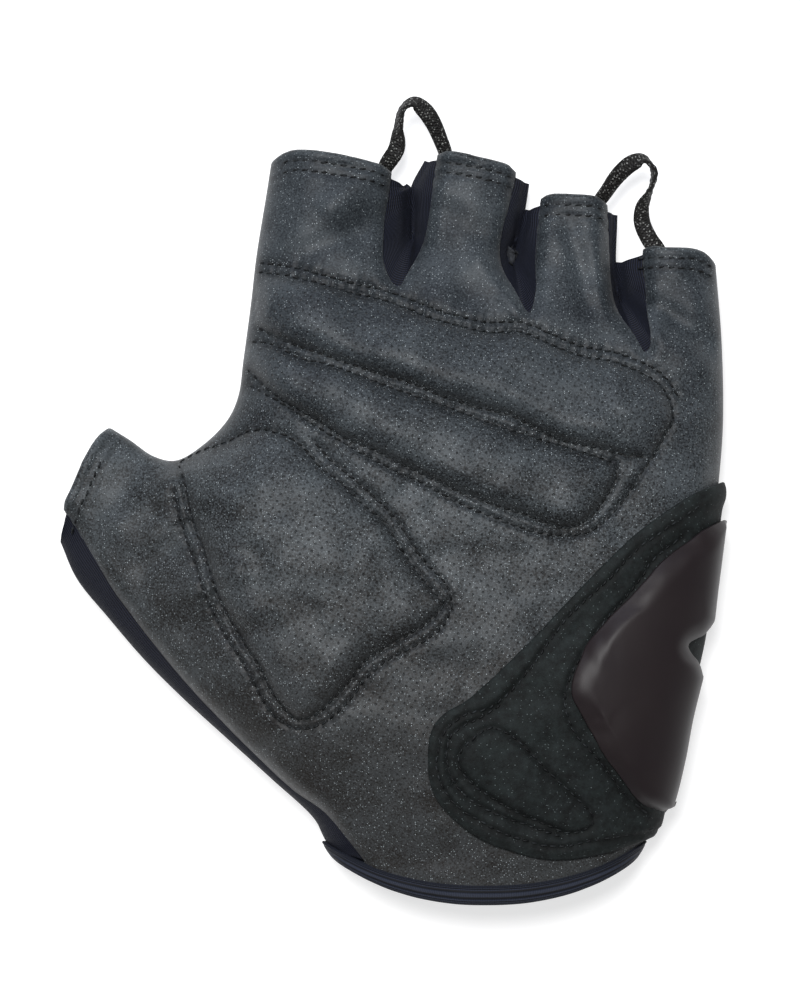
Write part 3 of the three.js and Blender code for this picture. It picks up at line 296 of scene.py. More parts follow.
def follow(rows: Table, key: Array, column: int) -> Array:
    """Value of one column of a table at places along its first column.

    A cubic through the rows: each row's slope is that of the line between its neighbours.

    Args:
        rows: the table, with rising places in its first column.
        key: places to read.
        column: which column to read.

    Returns:
        One value for each place, held beyond the ends.
    """
    table = np.asarray(rows, float)
    place, value = table[:, 0], table[:, column]
    last = len(place) - 1
    at = np.clip(key, place[0], place[-1])
    i = np.clip(np.searchsorted(place, at) - 1, 0, last - 1)
    before = np.maximum(np.arange(last + 1) - 1, 0)
    after = np.minimum(np.arange(last + 1) + 1, last)
    slope = (value[after] - value[before]) / (place[after] - place[before])
    span = place[i + 1] - place[i]
    t = (at - place[i]) / span
    level = (2 * t**3 - 3 * t**2 + 1) * value[i] + (3 * t**2 - 2 * t**3) * value[i + 1]
    return level + span * ((t**3 - 2 * t**2 + t) * slope[i] + (t**3 - t**2) * slope[i + 1])


class Path:
    """Smooth curve through points, a centripetal Catmull-Rom spline read by length."""

    PER_SPAN = 40

    def __init__(self, points: Any) -> None:
        """Samples the spline finely through points in two or three dimensions."""
        p = np.asarray(points, float)
        p = np.vstack([2 * p[0] - p[1], p, 2 * p[-1] - p[-2]])
        gap = np.maximum(np.sqrt(np.linalg.norm(np.diff(p, axis=0), axis=1)), 1e-6)[:, None]
        a, b, c, d = p[:-3], p[1:-2], p[2:-1], p[3:]
        g0, g1, g2 = gap[:-2], gap[1:-1], gap[2:]
        start = ((b - a) / g0 - (c - a) / (g0 + g1) + (c - b) / g1) * g1
        end = ((c - b) / g1 - (d - b) / (g1 + g2) + (d - c) / g2) * g1
        t = (np.arange(self.PER_SPAN) / self.PER_SPAN)[None, :, None]
        square = -3 * b + 3 * c - 2 * start - end
        cube = 2 * b - 2 * c + start + end
        spans = b[:, None] + start[:, None] * t + square[:, None] * t**2 + cube[:, None] * t**3
        self.line = np.vstack([spans.reshape(-1, p.shape[1]), c[-1:]])
        self.lengths = run_lengths(self.line)
        self.length = float(self.lengths[-1])

    def at(self, share: Any) -> Array:
        """Points at shares of the length."""
        return read_along(self.line, self.lengths, np.asarray(share, float) * self.length)

    def along(self, share: Any) -> Array:
        """Directions of run at shares of the length, from points a thousandth apart."""
        s = np.asarray(share, float)
        return unit(self.at(np.minimum(s + 5e-4, 1.0)) - self.at(np.maximum(s - 5e-4, 0.0)))

    def moved(self, amount: Callable[[Array], Any], side: float) -> "Path":
        """Curve moved to the left (side 1) or the right (side -1) by an amount read along it."""
        s = np.linspace(0, 1, 33)
        shift = np.broadcast_to(np.asarray(amount(s), float), s.shape)
        return Path(self.at(s) + side * shift[:, None] * left_of(self.along(s)))

    def nearest_share(self, target: Array) -> float:
        """Share of the length at which the curve passes nearest to a point."""
        s = np.linspace(0, 1, 401)
        return float(s[np.argmin(np.linalg.norm(self.at(s) - target, axis=1))])

    def kneed(self, knee: float, share: Any) -> Array:
        """Points of the curve when its knee is reached half way through the shares."""
        s = np.asarray(share, float)
        return self.at(np.where(s < 0.5, 2 * s * knee, knee + (1 - knee) * (2 * s - 1)))


def bowed_side(start: Array, end: Array, rows: Table, side: float) -> Path:
    """Curve from one end to another, bent to the right of its run (side 1) or the left."""
    chord = end - start
    outward = -side * left_of(chord)
    bends = [start + chord * along + outward * out for along, out in rows]
    return Path([start, *bends, end])


def second_row(points: Table, channel: float) -> Table:
    """Row of stitches a channel's width to the left of another, evenly smoothed."""
    path = Path(points)
    return Path(path.at(np.linspace(0, 1, 25))).moved(lambda s: channel, 1).at(np.linspace(0, 1, 31))


class Edge:
    """A line in the plan that is asked how far places lie from it."""

    STRIDE = 16

    def __init__(self, line: Array, spacing: float = 2.2) -> None:
        """Spreads samples evenly along the line, one stride for each spacing.

        The spacing is less than half as wide as any slot that the line turns round in.
        """
        lengths = run_lengths(line)
        strides = max(4, int(math.ceil(lengths[-1] / spacing)))
        self.arc = np.linspace(0, lengths[-1], strides * self.STRIDE + 1)
        self.dense = read_along(line, lengths, self.arc)
        self.coarse = self.dense[:: self.STRIDE]

    def measure(self, xy: Array) -> tuple[Array, Array]:
        """Distance to the line, and the length along it of the nearest place.

        The nearest coarse sample is found first, then the nearest segment of the fine line
        within one stride of it, and then the foot of the perpendicular.

        Args:
            xy: places in the plan.

        Returns:
            Distances and lengths along the line.
        """
        gaps = ((xy[:, None, :] - self.coarse[None]) ** 2).sum(-1)
        middle = np.argmin(gaps, axis=1) * self.STRIDE
        first = np.clip(middle - self.STRIDE, 0, len(self.dense) - 1 - 2 * self.STRIDE)
        near = first[:, None] + np.arange(2 * self.STRIDE)[None]
        a = self.dense[near]
        chord = self.dense[near + 1] - a
        away = xy[:, None, :] - a
        t = np.clip((away * chord).sum(-1) / np.maximum((chord**2).sum(-1), 1e-12), 0, 1)
        square = ((away - t[..., None] * chord) ** 2).sum(-1)
        best = np.argmin(square, axis=1)
        rows = np.arange(len(xy))
        arc = self.arc[near[rows, best]] + t[rows, best] * (self.arc[1] - self.arc[0])
        return np.sqrt(square[rows, best]), arc

    def measure_all(self, xy: Array) -> tuple[Array, Array]:
        """The same for any number of places, in slices that keep the memory small."""
        parts = [self.measure(part) for part in slices(xy)] or [(np.zeros(0), np.zeros(0))]
        return np.concatenate([d for d, _ in parts]), np.concatenate([arc for _, arc in parts])

    def distance(self, xy: Array) -> Array:
        """Distance to the line."""
        return self.measure_all(xy)[0]


def slices(xy: Array, size: int = 8000) -> list[Array]:
    """The rows of an array in runs of a few thousand."""
    return [xy[i : i + size] for i in range(0, len(xy), size)]


def is_inside(loop: Array, xy: Array) -> Array:
    """Whether places lie inside a closed loop: an odd count of edges crossed to the right."""
    a, b = loop, np.roll(loop, -1, axis=0)
    rise = np.where(np.abs(b[:, 1] - a[:, 1]) < 1e-12, 1e-12, b[:, 1] - a[:, 1])
    parts = []
    for part in slices(xy):
        x, y = part[:, :1], part[:, 1:]
        spans = (a[None, :, 1] > y) != (b[None, :, 1] > y)
        crossing = a[None, :, 0] + (y - a[None, :, 1]) * ((b[:, 0] - a[:, 0]) / rise)[None]
        parts.append((spans & (x < crossing)).sum(1) % 2 == 1)
    return np.concatenate(parts)


class Ripple:
    """Smooth seeded noise in the plan: random levels on a lattice, eased between its points."""

    def __init__(self, seed: int, cell: float) -> None:
        """Draws a lattice of 128 by 128 levels from -1 to 1, cell millimetres apart."""
        self.cell = cell
        self.levels = np.random.default_rng(seed).uniform(-1, 1, (128, 128))

    def at(self, xy: Array) -> Array:
        """Levels at places, mixed between the four nearest lattice points."""
        q = xy / self.cell + 64.0
        i = np.floor(q).astype(int)
        f = q - i
        f = f * f * f * (f * (6 * f - 15) + 10)
        i0, j0 = i[:, 0] % 128, i[:, 1] % 128
        i1, j1 = (i0 + 1) % 128, (j0 + 1) % 128
        low = self.levels[i0, j0] * (1 - f[:, 0]) + self.levels[i1, j0] * f[:, 0]
        high = self.levels[i0, j1] * (1 - f[:, 0]) + self.levels[i1, j1] * f[:, 0]
        return low * (1 - f[:, 1]) + high * f[:, 1]


class Face(Enum):
    """Which face of the glove a panel lies on."""

    PALM = "palm"
    BACK = "back"


# --- The pattern in plan ------------------------------------------------------------------


@dataclass(frozen=True)
class Hem:
    """Edge of one finger's opening."""

    finger: Finger
    left: float
    right: float
    left_corner: Array
    right_corner: Array

    def at(self, share: Any, face: Face = Face.PALM) -> Array:
        """Points along the hem: the chord, swelled by bow * (1 - |2s - 1|^4)."""
        s = np.asarray(share, float)[..., None]
        bow = (1.0 if face is Face.PALM else UNDER_BOW) * self.finger.bow * self.finger.width
        chord = self.left_corner + (self.right_corner - self.left_corner) * s
        return chord + np.array([0.0, bow]) * (1 - np.abs(2 * s - 1) ** 4)


@dataclass(frozen=True)
class Crease:
    """The silhouette between two fingers, and the tips of its gusset's seams."""

    fork: Fork
    left: Hem
    right: Hem
    bottom: Array
    notch: Array
    path: Path

    def tip(self, face: Face) -> Array:
        """Lowest point of the gusset's seam on one face."""
        return self.notch if face is Face.PALM else self.bottom + (self.notch - self.bottom) * UNDER_NOTCH

    def seam(self, face: Face, spread: float = 0.0) -> Path:
        """Seam from the left hem round the tip to the right hem, moved out by spread."""
        fork, wide = self.fork, (1.0 if face is Face.PALM else UNDER_SPREAD) * STUB_LENGTH
        tip = self.tip(face)
        waist = self.bottom + (tip - self.bottom) * 0.6

        def beside(share: float) -> Array:
            return self.bottom + np.array([wide * share, 0.0])

        def below(share: float) -> Array:
            return waist + np.array([wide * 0.62 * share, 0.0])

        seam = Path([
            self.left.at(1 - wide * fork.left_hem / self.left.finger.width, face),
            beside(-fork.left_wide), below(-fork.left_wide), tip,
            below(fork.right_wide), beside(fork.right_wide),
            self.right.at(wide * fork.right_hem / self.right.finger.width, face),
        ])
        return seam if spread == 0 else seam.moved(lambda s: spread, -1)


class Pattern:
    """The glove's plan: hems, sides, creases and cuff, laid out from the named sizes."""

    def __init__(self) -> None:
        """Places each finger after the last, then draws the sides between the openings."""
        width = sum(f.width for f in FINGERS) + FINGER_GAP * (len(FINGERS) - 1)
        self.half_palm = width / 2
        self.hems: list[Hem] = []
        for f in FINGERS:
            left = self.hems[-1].right + FINGER_GAP if self.hems else -self.half_palm
            fall = f.width / 2 * math.tan(math.radians(f.tilt))
            self.hems.append(Hem(
                f, left, left + f.width,
                np.array([left + f.left_in * f.width, f.reach + fall]),
                np.array([left + f.width - f.right_in * f.width, f.reach - fall]),
            ))
        self.thumb_axis = np.array([-math.cos(THUMB_SPLAY), math.sin(THUMB_SPLAY)])
        corner_y = -(CUFF_REACH - CUFF_BOW)
        cuff_left = np.array([CUFF_OFFSET - CUFF_WIDTH / 2, corner_y])
        cuff_right = np.array([CUFF_OFFSET + CUFF_WIDTH / 2, corner_y])
        self.thumb_side = bowed_side(self.thumb_hem(0.0), cuff_left, THUMB_SIDE, 1)
        self.little_side = bowed_side(self.hems[3].right_corner, cuff_right, LITTLE_SIDE, -1)
        reach = FINGERS[0].reach
        bends = [
            (-self.half_palm - left * THUMB_REACH, CROTCH_HEIGHT + (reach - CROTCH_HEIGHT) * up)
            for left, up in CROTCH
        ]
        self.crotch_side = Path([self.thumb_hem(1.0), *bends, self.hems[0].left_corner])
        self.creases = [self._crease(k) for k in range(len(FORKS))]
        down, up = np.array([0.0, -1.0]), np.array([0.0, 1.0])
        self.silhouette = [
            self._run_on(self.thumb_side, self.thumb_axis, down),
            self._run_on(self.crotch_side, self.thumb_axis, up),
            self._run_on(self.little_side, up, down),
            *[self._run_on(c.path, up, up, 0.4 * FINGER_GAP) for c in self.creases],
        ]

    def thumb_hem(self, share: Any) -> Array:
        """Thumb hem, from its low corner (0) to the one beside the crotch (1)."""
        s = np.asarray(share, float)[..., None]
        middle = np.array([-self.half_palm - THUMB_REACH, THUMB_HEIGHT])
        along = left_of(self.thumb_axis)
        bow = THUMB_BOW * THUMB_OPENING * (1 - np.abs(2 * s - 1) ** 4)
        return middle + along * (0.5 - s) * THUMB_OPENING + self.thumb_axis * bow

    def _crease(self, k: int) -> Crease:
        """Crease between finger k and the next, a narrow slot with a round end."""
        fork, left, right = FORKS[k], self.hems[k], self.hems[k + 1]
        half = FINGER_GAP / 2
        top = min(left.right_corner[1], right.left_corner[1]) - CREASE_DROP
        x = left.right + half
        bottom = np.array([x + fork.slant * STUB_LENGTH, top - fork.deep * STUB_LENGTH])
        notch = np.array([x + fork.notch_slant * STUB_LENGTH, top - fork.notch * STUB_LENGTH])
        mid = (np.array([x, top]) + bottom) / 2
        path = Path([
            left.right_corner, (x - half, top), (mid[0] - half, mid[1]),
            (bottom[0] - half, bottom[1] + 2 * half), bottom,
            (bottom[0] + half, bottom[1] + 2 * half), (mid[0] + half, mid[1]),
            (x + half, top), right.left_corner,
        ])
        return Crease(fork, left, right, bottom, notch, path)

    @staticmethod
    def _run_on(path: Path, before: Array, after: Array, spacing: float = 2.2) -> Edge:
        """Silhouette line, run on past its ends so that the openings stay full."""
        line = path.at(np.linspace(0, 1, 400))
        whole = np.vstack([line[0] + before * RUN_ON, line, line[-1] + after * RUN_ON])
        return Edge(whole, spacing)

    def cuff(self, share: Any, above: float) -> Array:
        """Points round the wrist, at a share across and some way above the cuff's edge."""
        s = np.asarray(share, float)[..., None]
        left = self.thumb_side.at(1 - above / self.thumb_side.length)
        right = self.little_side.at(1 - above / self.little_side.length)
        bow = CUFF_BOW * (1 - np.abs(2 * s - 1) ** CUFF_ROUNDNESS)
        return left + (right - left) * s - np.array([0.0, 1.0]) * bow

    def strip_seam(self, face: Face, spread: float = 0.0) -> Path:
        """Seam of the side gusset from the thumb's hem to the cuff, moved in by spread."""

        def inset(t: Array) -> Array:
            share = follow(SIDE_STRIP, t, 1) if face is Face.PALM else SIDE_UNDER + 0 * t
            return THUMB_OPENING * share + spread

        whole = self.thumb_side.moved(inset, 1)
        inner = whole.at((np.arange(11) + 1) / 12.6)
        ends = inset(np.array([0.0, 1.0]))
        start = self.thumb_hem(ends[0] / THUMB_OPENING)
        return Path([start, *inner, self.cuff(ends[1] / CUFF_WIDTH, CUFF_BAND + 0.45)])

    def side_outline(self, rows: Table, span: tuple[float, float]) -> Path:
        """Outline that starts and ends on the little-finger side."""
        inner = [np.array(r) * self.half_palm for r in rows]
        return Path([self.little_side.at(span[0]), *inner, self.little_side.at(span[1])])


# --- Height of the skin, with its padding, seams and folds --------------------------------


@dataclass(frozen=True)
class Groove:
    """A line of stitches that draws the cloth down: its depth, half width and pucker."""

    points: Table
    depth: float = 0.62
    half: float = 0.75
    pucker: float = 0.12


@dataclass(frozen=True)
class Cushion:
    """Padding sewn in between a crown line, an end line and a foot line.

    The height is rise * (1 - exp(-foot / steep)) * (1 - exp(-crown / gentle)), where foot and
    crown are the distances from those lines: the padding sags against its lower seam.
    """

    crown: Table
    foot: Table
    rise: float
    steep: float
    gentle: float

    def height(self, xy: Array) -> Array:
        """Height of the padding above the cloth round it."""
        crown, foot = Path(self.crown).line, Path(self.foot).line
        inside = is_inside(np.vstack([crown, foot]), xy)
        up = 1 - np.exp(-Edge(crown).distance(xy) / self.gentle)
        low = 1 - np.exp(-((Edge(foot).distance(xy) / self.steep) ** 1.3))
        return np.where(inside, self.rise * up * low, 0.0)


@dataclass
class Skin:
    """Upper and lower heights of the cloth over the plan."""

    pattern: Pattern
    cushions: Sequence[Cushion] = (
        Cushion(PAD_CROWN, KNUCKLE_FOOT[::-1], 3.5, 2.2, 4.4),
        Cushion(PALM_CROWN, PALM_FOOT, 3.3, 2.2, 3.6),
        Cushion(THENAR_CROWN, THENAR_FOOT, 3.4, 2.8, 5.5),
    )
    grooves: Sequence[Groove] = (
        Groove(PAD_CROWN), Groove(second_row(PAD_CROWN[:-3], KNUCKLE_CHANNEL), 0.4),
        Groove(PAD_FOOT), Groove(KNUCKLE_FOOT), Groove(PALM_CROWN), Groove(PALM_FOOT),
        Groove(THENAR_CROWN, 0.5), Groove(THENAR_FOOT, 0.8),
        Groove(second_row(THENAR_CROWN[6:] + THENAR_FOOT[1:-1], THENAR_CHANNEL), 0.5),
    )
    swells: Sequence[Ripple] = (Ripple(11, 13.0), Ripple(12, 5.5), Ripple(13, 2.6))

    def _distances(self, xy: Array, own: Array | None, line: Array | None) -> Array:
        """Distance from each silhouette line, with the known ones put in exactly."""
        all_lines = np.stack([edge.distance(xy) for edge in self.pattern.silhouette])
        if own is not None and line is not None:
            known = line >= 0
            all_lines[line[known], np.flatnonzero(known)] = own[known]
        return all_lines

    def _section(self, xy: Array) -> tuple[Array, Array]:
        """Crown and side seam heights of the cross section at each place."""
        x, y = xy[:, 0], xy[:, 1]
        along = y / np.where(y < 0, CUFF_REACH, MIDDLE_REACH)
        flat = 1 - THUMB_FLATTENING * ease((-x - self.pattern.half_palm) / THUMB_REACH)
        crown = PALM_DEPTH * flat * follow(SECTIONS, along, 1)
        return crown, SIDE_SEAM_HEIGHT * flat * follow(SECTIONS, along, 2)

    def folds(self, xy: Array) -> Array:
        """Soft folds, each a ridge or dent rise * exp(-(d / half)^2) beside its line."""
        total = np.zeros(len(xy))
        for x0, y0, x1, y1, half, rise in FOLDS:
            d = Edge(np.array([[x0, y0], [x1, y1]])).distance(xy)
            total += rise * np.exp(-((d / half) ** 2))
        return total

    def sewing(self, xy: Array) -> tuple[Array, Array]:
        """Grooves along the stitch lines, with puckers, and how deep in a groove a place is.

        Each groove is -depth * exp(-(d / half)^2), and small gathers run out from it:
        pucker * gathers(length) * exp(-d / 1.8).
        """
        total, nearest = np.zeros(len(xy)), np.full(len(xy), np.inf)
        for groove in self.grooves:
            edge = Edge(Path(groove.points).line)
            d, arc = edge.measure_all(xy)
            wave = gathers(arc, slow=5.1, share=0.7)
            total -= groove.depth * np.exp(-((d / groove.half) ** 2))
            total += groove.pucker * wave * np.exp(-d / 1.8)
            nearest = np.minimum(nearest, d)
        return total, np.exp(-((nearest / 1.3) ** 2))

    def wander(self, xy: Array) -> Array:
        """Slight unevenness of soft cloth, from three sizes of ripple."""
        broad, middle, small = (r.at(xy) for r in self.swells)
        return 0.7 * broad + 0.42 * middle + 0.09 * small

    def top(
        self,
        xy: Array,
        own: Array | None = None,
        line: Array | None = None,
        is_sewn: bool = True,
        has_pads: bool = True,
    ) -> Array:
        """Height of the palm side.

        The side seam, plus the crown's rise times the root of the product of
        1 - exp(-d / softness) over the silhouette lines, plus the relief.

        Args:
            xy: places in the plan.
            own: distances from a silhouette line that are known exactly.
            line: which line each of those belongs to, or -1.
            is_sewn: whether the stitch grooves are pressed in.
            has_pads: whether the padding and the folds are raised.

        Returns:
            Heights in millimetres.
        """
        d = self._distances(xy, own, line)
        crown, seam = self._section(xy)
        full = np.sqrt(np.prod(1 - np.exp(-d / TOP_SOFTNESS), axis=0))
        relief = self.wander(xy)
        if has_pads:
            relief += self.folds(xy) + sum(c.height(xy) for c in self.cushions)
        if is_sewn:
            relief += self.sewing(xy)[0]
        height = seam + HALF_SEAM + (crown - seam) * full
        return height + relief * np.clip(d.min(0) / RELIEF_MARGIN, 0, 1)

    def bottom(
        self, xy: Array, own: Array | None = None, line: Array | None = None
    ) -> Array:
        """Height of the back side, which falls from the side seam and rests on the floor."""
        d = self._distances(xy, own, line)
        seam = self._section(xy)[1]
        full = np.sqrt(np.prod(1 - np.exp(-d / UNDER_SOFTNESS), axis=0))
        return np.maximum(0.0, seam - HALF_SEAM - seam * UNDER_FILL * full)

    def side(self, xy: Array) -> Array:
        """Height of the side seam."""
        return self._section(xy)[1]

    def height(self, xy: Array, face: Face, **how: Any) -> Array:
        """Height of one face of the glove."""
        return self.top(xy, **how) if face is Face.PALM else self.bottom(xy)

    def lifted(self, xy: Array, face: Face, **how: Any) -> Array:
        """Plan places brought to their height."""
        return np.column_stack([xy, self.height(xy, face, **how)])

    def normal(self, xy: Array, face: Face, step: float = 0.35, **how: Any) -> Array:
        """Outward normals of one face, from heights a small step to each side."""
        dx, dy = np.array([step, 0.0]), np.array([0.0, step])
        sx = (self.height(xy + dx, face, **how) - self.height(xy - dx, face, **how)) / (2 * step)
        sy = (self.height(xy + dy, face, **how) - self.height(xy - dy, face, **how)) / (2 * step)
        normal = unit(np.column_stack([-sx, -sy, np.ones(len(xy))]))
        return normal if face is Face.PALM else -normal


# --- Nets of triangles over a stretch of the plan -----------------------------------------
RING_DEPTHS = np.array([0.0, 0.03, 0.12, 0.27, 0.48, 0.75, 1.1, 1.52, 2.0])
BAND_FADE = 6.0
BAND_MARGIN = 0.25
LEAST_COSINE = 0.3


@dataclass
class Leg:
    """One stretch of a net's outline; a steep one lies on a silhouette line, and stands up."""

    points: Array
    steep_line: int = -1


@dataclass
class Net:
    """Triangles over the plan, with each place's known distance from its silhouette line."""

    xy: Array
    faces: Array
    own: Array
    line: Array

    @property
    def keys(self) -> Array:
        """One whole number for each place, the same in any net that shares the place."""
        q = np.round(self.xy * 1e4).astype(np.int64)
        return q[:, 0] * 10_000_000 + q[:, 1]

    def rim(self) -> Array:
        """Edges that belong to one triangle only, with the net on their left."""
        f = self.faces
        edges = np.vstack([f[:, [0, 1]], f[:, [1, 2]], f[:, [2, 0]]]).astype(np.int64)
        ahead, back = edges[:, 0] << 32 | edges[:, 1], edges[:, 1] << 32 | edges[:, 0]
        return edges[~np.isin(ahead, back)]


def spaced(path: Path, start: float, end: float, step: float) -> Array:
    """Points of a path from one share of its length to another, about a step apart."""
    count = max(2, int(round(abs(end - start) * path.length / step)) + 1)
    return path.at(np.linspace(start, end, count))


def triangular_grid(low: Array, high: Array, step: float) -> Array:
    """Staggered grid of plan places, nudged a little so that no four share a circle."""
    columns = np.arange(low[0], high[0], step)
    rows = np.arange(low[1], high[1], step * 0.866)
    x, y = np.meshgrid(columns, rows)
    x = x + 0.5 * step * (np.arange(len(rows)) % 2)[:, None]
    nudge = 0.03 * step
    x = x + nudge * np.sin(12.9 * x + 78.2 * y)
    y = y + nudge * np.sin(39.3 * x + 11.1 * y)
    return np.column_stack([x.ravel(), y.ravel()])


def weave_net(
    legs: Sequence[Leg],
    step: float,
    fine_step: float = 0.0,
    fine_lines: Sequence[Edge] = (),
    rings: Array | None = None,
) -> Net:
    """Net over the plan inside an outline.

    Beside a steep leg runs a band of rows that crowd towards the silhouette, where the cloth
    stands upright. Inside the bands the places are a staggered grid, joined by a Delaunay
    triangulation that keeps the outline.

    Args:
        legs: stretches of the outline, anticlockwise, each starting where the last one ends.
        step: grid spacing in millimetres.
        fine_step: closer spacing beside some lines, or 0.
        fine_lines: the lines that get it.
        rings: places that are kept as they are, where the grid makes room for them.

    Returns:
        The net.
    """
    count = len(legs)
    deep = RING_DEPTHS[-1]
    inner: list[Array] = []
    grids: list[tuple[Array, int]] = []
    for k, leg in enumerate(legs):
        before, after = legs[k - 1], legs[(k + 1) % count]
        points = leg.points
        if leg.steep_line >= 0:
            along = unit(np.gradient(points, axis=0))
            across = left_of(along)
            arc = run_lengths(points)
            start = unit(point_along(before.points[::-1], deep) - points[0])
            end = unit(point_along(after.points, deep) - points[-1])
            start = start / max(LEAST_COSINE, start @ across[0]) - across[0]
            end = end / max(LEAST_COSINE, end @ across[-1]) - across[-1]
            column = across + start * (1 - ease(arc / BAND_FADE))[:, None]
            column = column + end * (1 - ease((arc[-1] - arc) / BAND_FADE))[:, None]
            grid = points[:, None, :] + column[:, None, :] * RING_DEPTHS[None, :, None]
            grids.append((grid, leg.steep_line))
            inner.append(grid[:-1, -1])
        else:
            if before.steep_line >= 0:
                points = trimmed(points, deep, before.points[-2:])
            if after.steep_line >= 0:
                points = trimmed(points[::-1], deep, after.points[:2])[::-1]
            inner.append(points[:-1])
    loop = join_loops(inner, grids, legs)
    low, high = loop.min(0) - step, loop.max(0) + step
    edge = Edge(np.vstack([loop, loop[0]]))
    grid = triangular_grid(low, high, step)
    grid = grid[is_inside(loop, grid)]
    grid = grid[edge.distance(grid) > 0.6 * step]
    if fine_step:
        near = np.min([line.distance(grid) for line in fine_lines], axis=0)
        fine = triangular_grid(low, high, fine_step)
        fine = fine[is_inside(loop, fine)]
        fine = fine[np.min([line.distance(fine) for line in fine_lines], axis=0) < 1.5]
        fine = fine[edge.distance(fine) > 0.6 * fine_step]
        grid = np.vstack([grid[near > 1.5 + 0.5 * step], fine])
    if rings is not None:
        kept = rings[is_inside(loop, rings)]
        kept = kept[edge.distance(kept) > 0.05]
        gaps = ((grid[:, None] - kept[None]) ** 2).sum(-1).min(1)
        grid = np.vstack([grid[gaps > (0.6 * step) ** 2], kept])
    places = np.vstack([loop, grid])
    ring = [list(range(len(loop)))]
    made = delaunay_2d_cdt([Vector(p) for p in places.tolist()], [], ring, 1, 1e-7)
    xy = np.array([v[:] for v in made[0]])
    faces = np.array(made[2], dtype=np.int64)
    own, line = np.full(len(xy), -1.0), np.full(len(xy), -1)
    parts_xy, parts_faces, parts_own, parts_line = [xy], [faces], [own], [line]
    offset = len(xy)
    for grid, which in grids:
        n, m = grid.shape[:2]
        parts_xy.append(grid.reshape(-1, 2))
        quads = grid_quads(n, m, False, False)[:, ::-1] + offset
        parts_faces.append(np.vstack([quads[:, [0, 1, 2]], quads[:, [0, 2, 3]]]))
        parts_own.append(np.tile(RING_DEPTHS, n))
        parts_line.append(np.full(n * m, which))
        offset += n * m
    return welded(Net(*(np.concatenate(p) for p in (parts_xy, parts_faces, parts_own, parts_line))))


def join_loops(
    inner: Sequence[Array], grids: Sequence[tuple[Array, int]], legs: Sequence[Leg]
) -> Array:
    """Closed loop inside the steep bands, with near-doubled points left out."""
    pieces: list[Array] = []
    bands = iter(grids)
    for part, leg in zip(inner, legs):
        pieces.append(part)
        if leg.steep_line >= 0:
            pieces.append(next(bands)[0][-1:, -1])
    loop = np.vstack(pieces)
    gap = np.linalg.norm(loop - np.roll(loop, 1, axis=0), axis=1)
    return loop[gap > 0.02]


def point_along(points: Array, distance: float) -> Array:
    """Point of a polyline at a distance from its start."""
    return read_along(points, run_lengths(points), distance)


def trimmed(points: Array, deep: float, side: Array) -> Array:
    """Polyline without the stretch at its start that a steep band covers."""
    along = unit(side[1] - side[0])
    across = left_of(along)
    towards = unit(point_along(points, deep) - points[0])
    reach = deep / max(LEAST_COSINE, float(towards @ across))
    return points[np.linalg.norm(points - points[0], axis=1) > reach + BAND_MARGIN]


def welded(net: Net) -> Net:
    """Net whose doubled places are merged, keeping the known distances."""
    _, first, which = np.unique(net.keys, return_index=True, return_inverse=True)
    own = np.full(len(first), -1.0)
    line = np.full(len(first), -1)
    known = np.flatnonzero(net.line >= 0)
    own[which[known]] = net.own[known]
    line[which[known]] = net.line[known]
    faces = which.reshape(-1)[net.faces]
    good = (faces[:, 0] != faces[:, 1]) & (faces[:, 1] != faces[:, 2]) & (faces[:, 0] != faces[:, 2])
    return Net(net.xy[first], faces[good], own, line)


def vertex_normals(places: Array, faces: Array) -> Array:
    """Normals at the corners of triangles: the sum of the faces' area vectors."""
    a, b, c = (places[faces[:, k]] for k in range(3))
    area = np.cross(b - a, c - a)
    total = np.zeros_like(places)
    for k in range(3):
        for axis in range(3):
            total[:, axis] += np.bincount(faces[:, k], area[:, axis], len(places))
    return unit(total)


# --- Meshes -------------------------------------------------------------------------------


def grid_quads(n: int, m: int, is_closed_n: bool, is_closed_m: bool) -> Array:
    """Quads of a grid of n rows of m places, which may close on itself either way."""
    i = np.arange(n if is_closed_n else n - 1)[:, None]
    j = np.arange(m if is_closed_m else m - 1)[None]
    i2, j2 = (i + 1) % n, (j + 1) % m
    corners = [i * m + j, i * m + j2, i2 * m + j2, i2 * m + j]
    return np.stack([np.broadcast_to(c, (i.shape[0], j.shape[1])) for c in corners], -1).reshape(-1, 4)


@dataclass
class Shape:
    """Places and faces of one piece, with what its materials read."""

    places: Array
    faces: list[Array]
    uv: Array | None = None
    attributes: dict[str, Array] = field(default_factory=dict)
    inner_from: int = -1


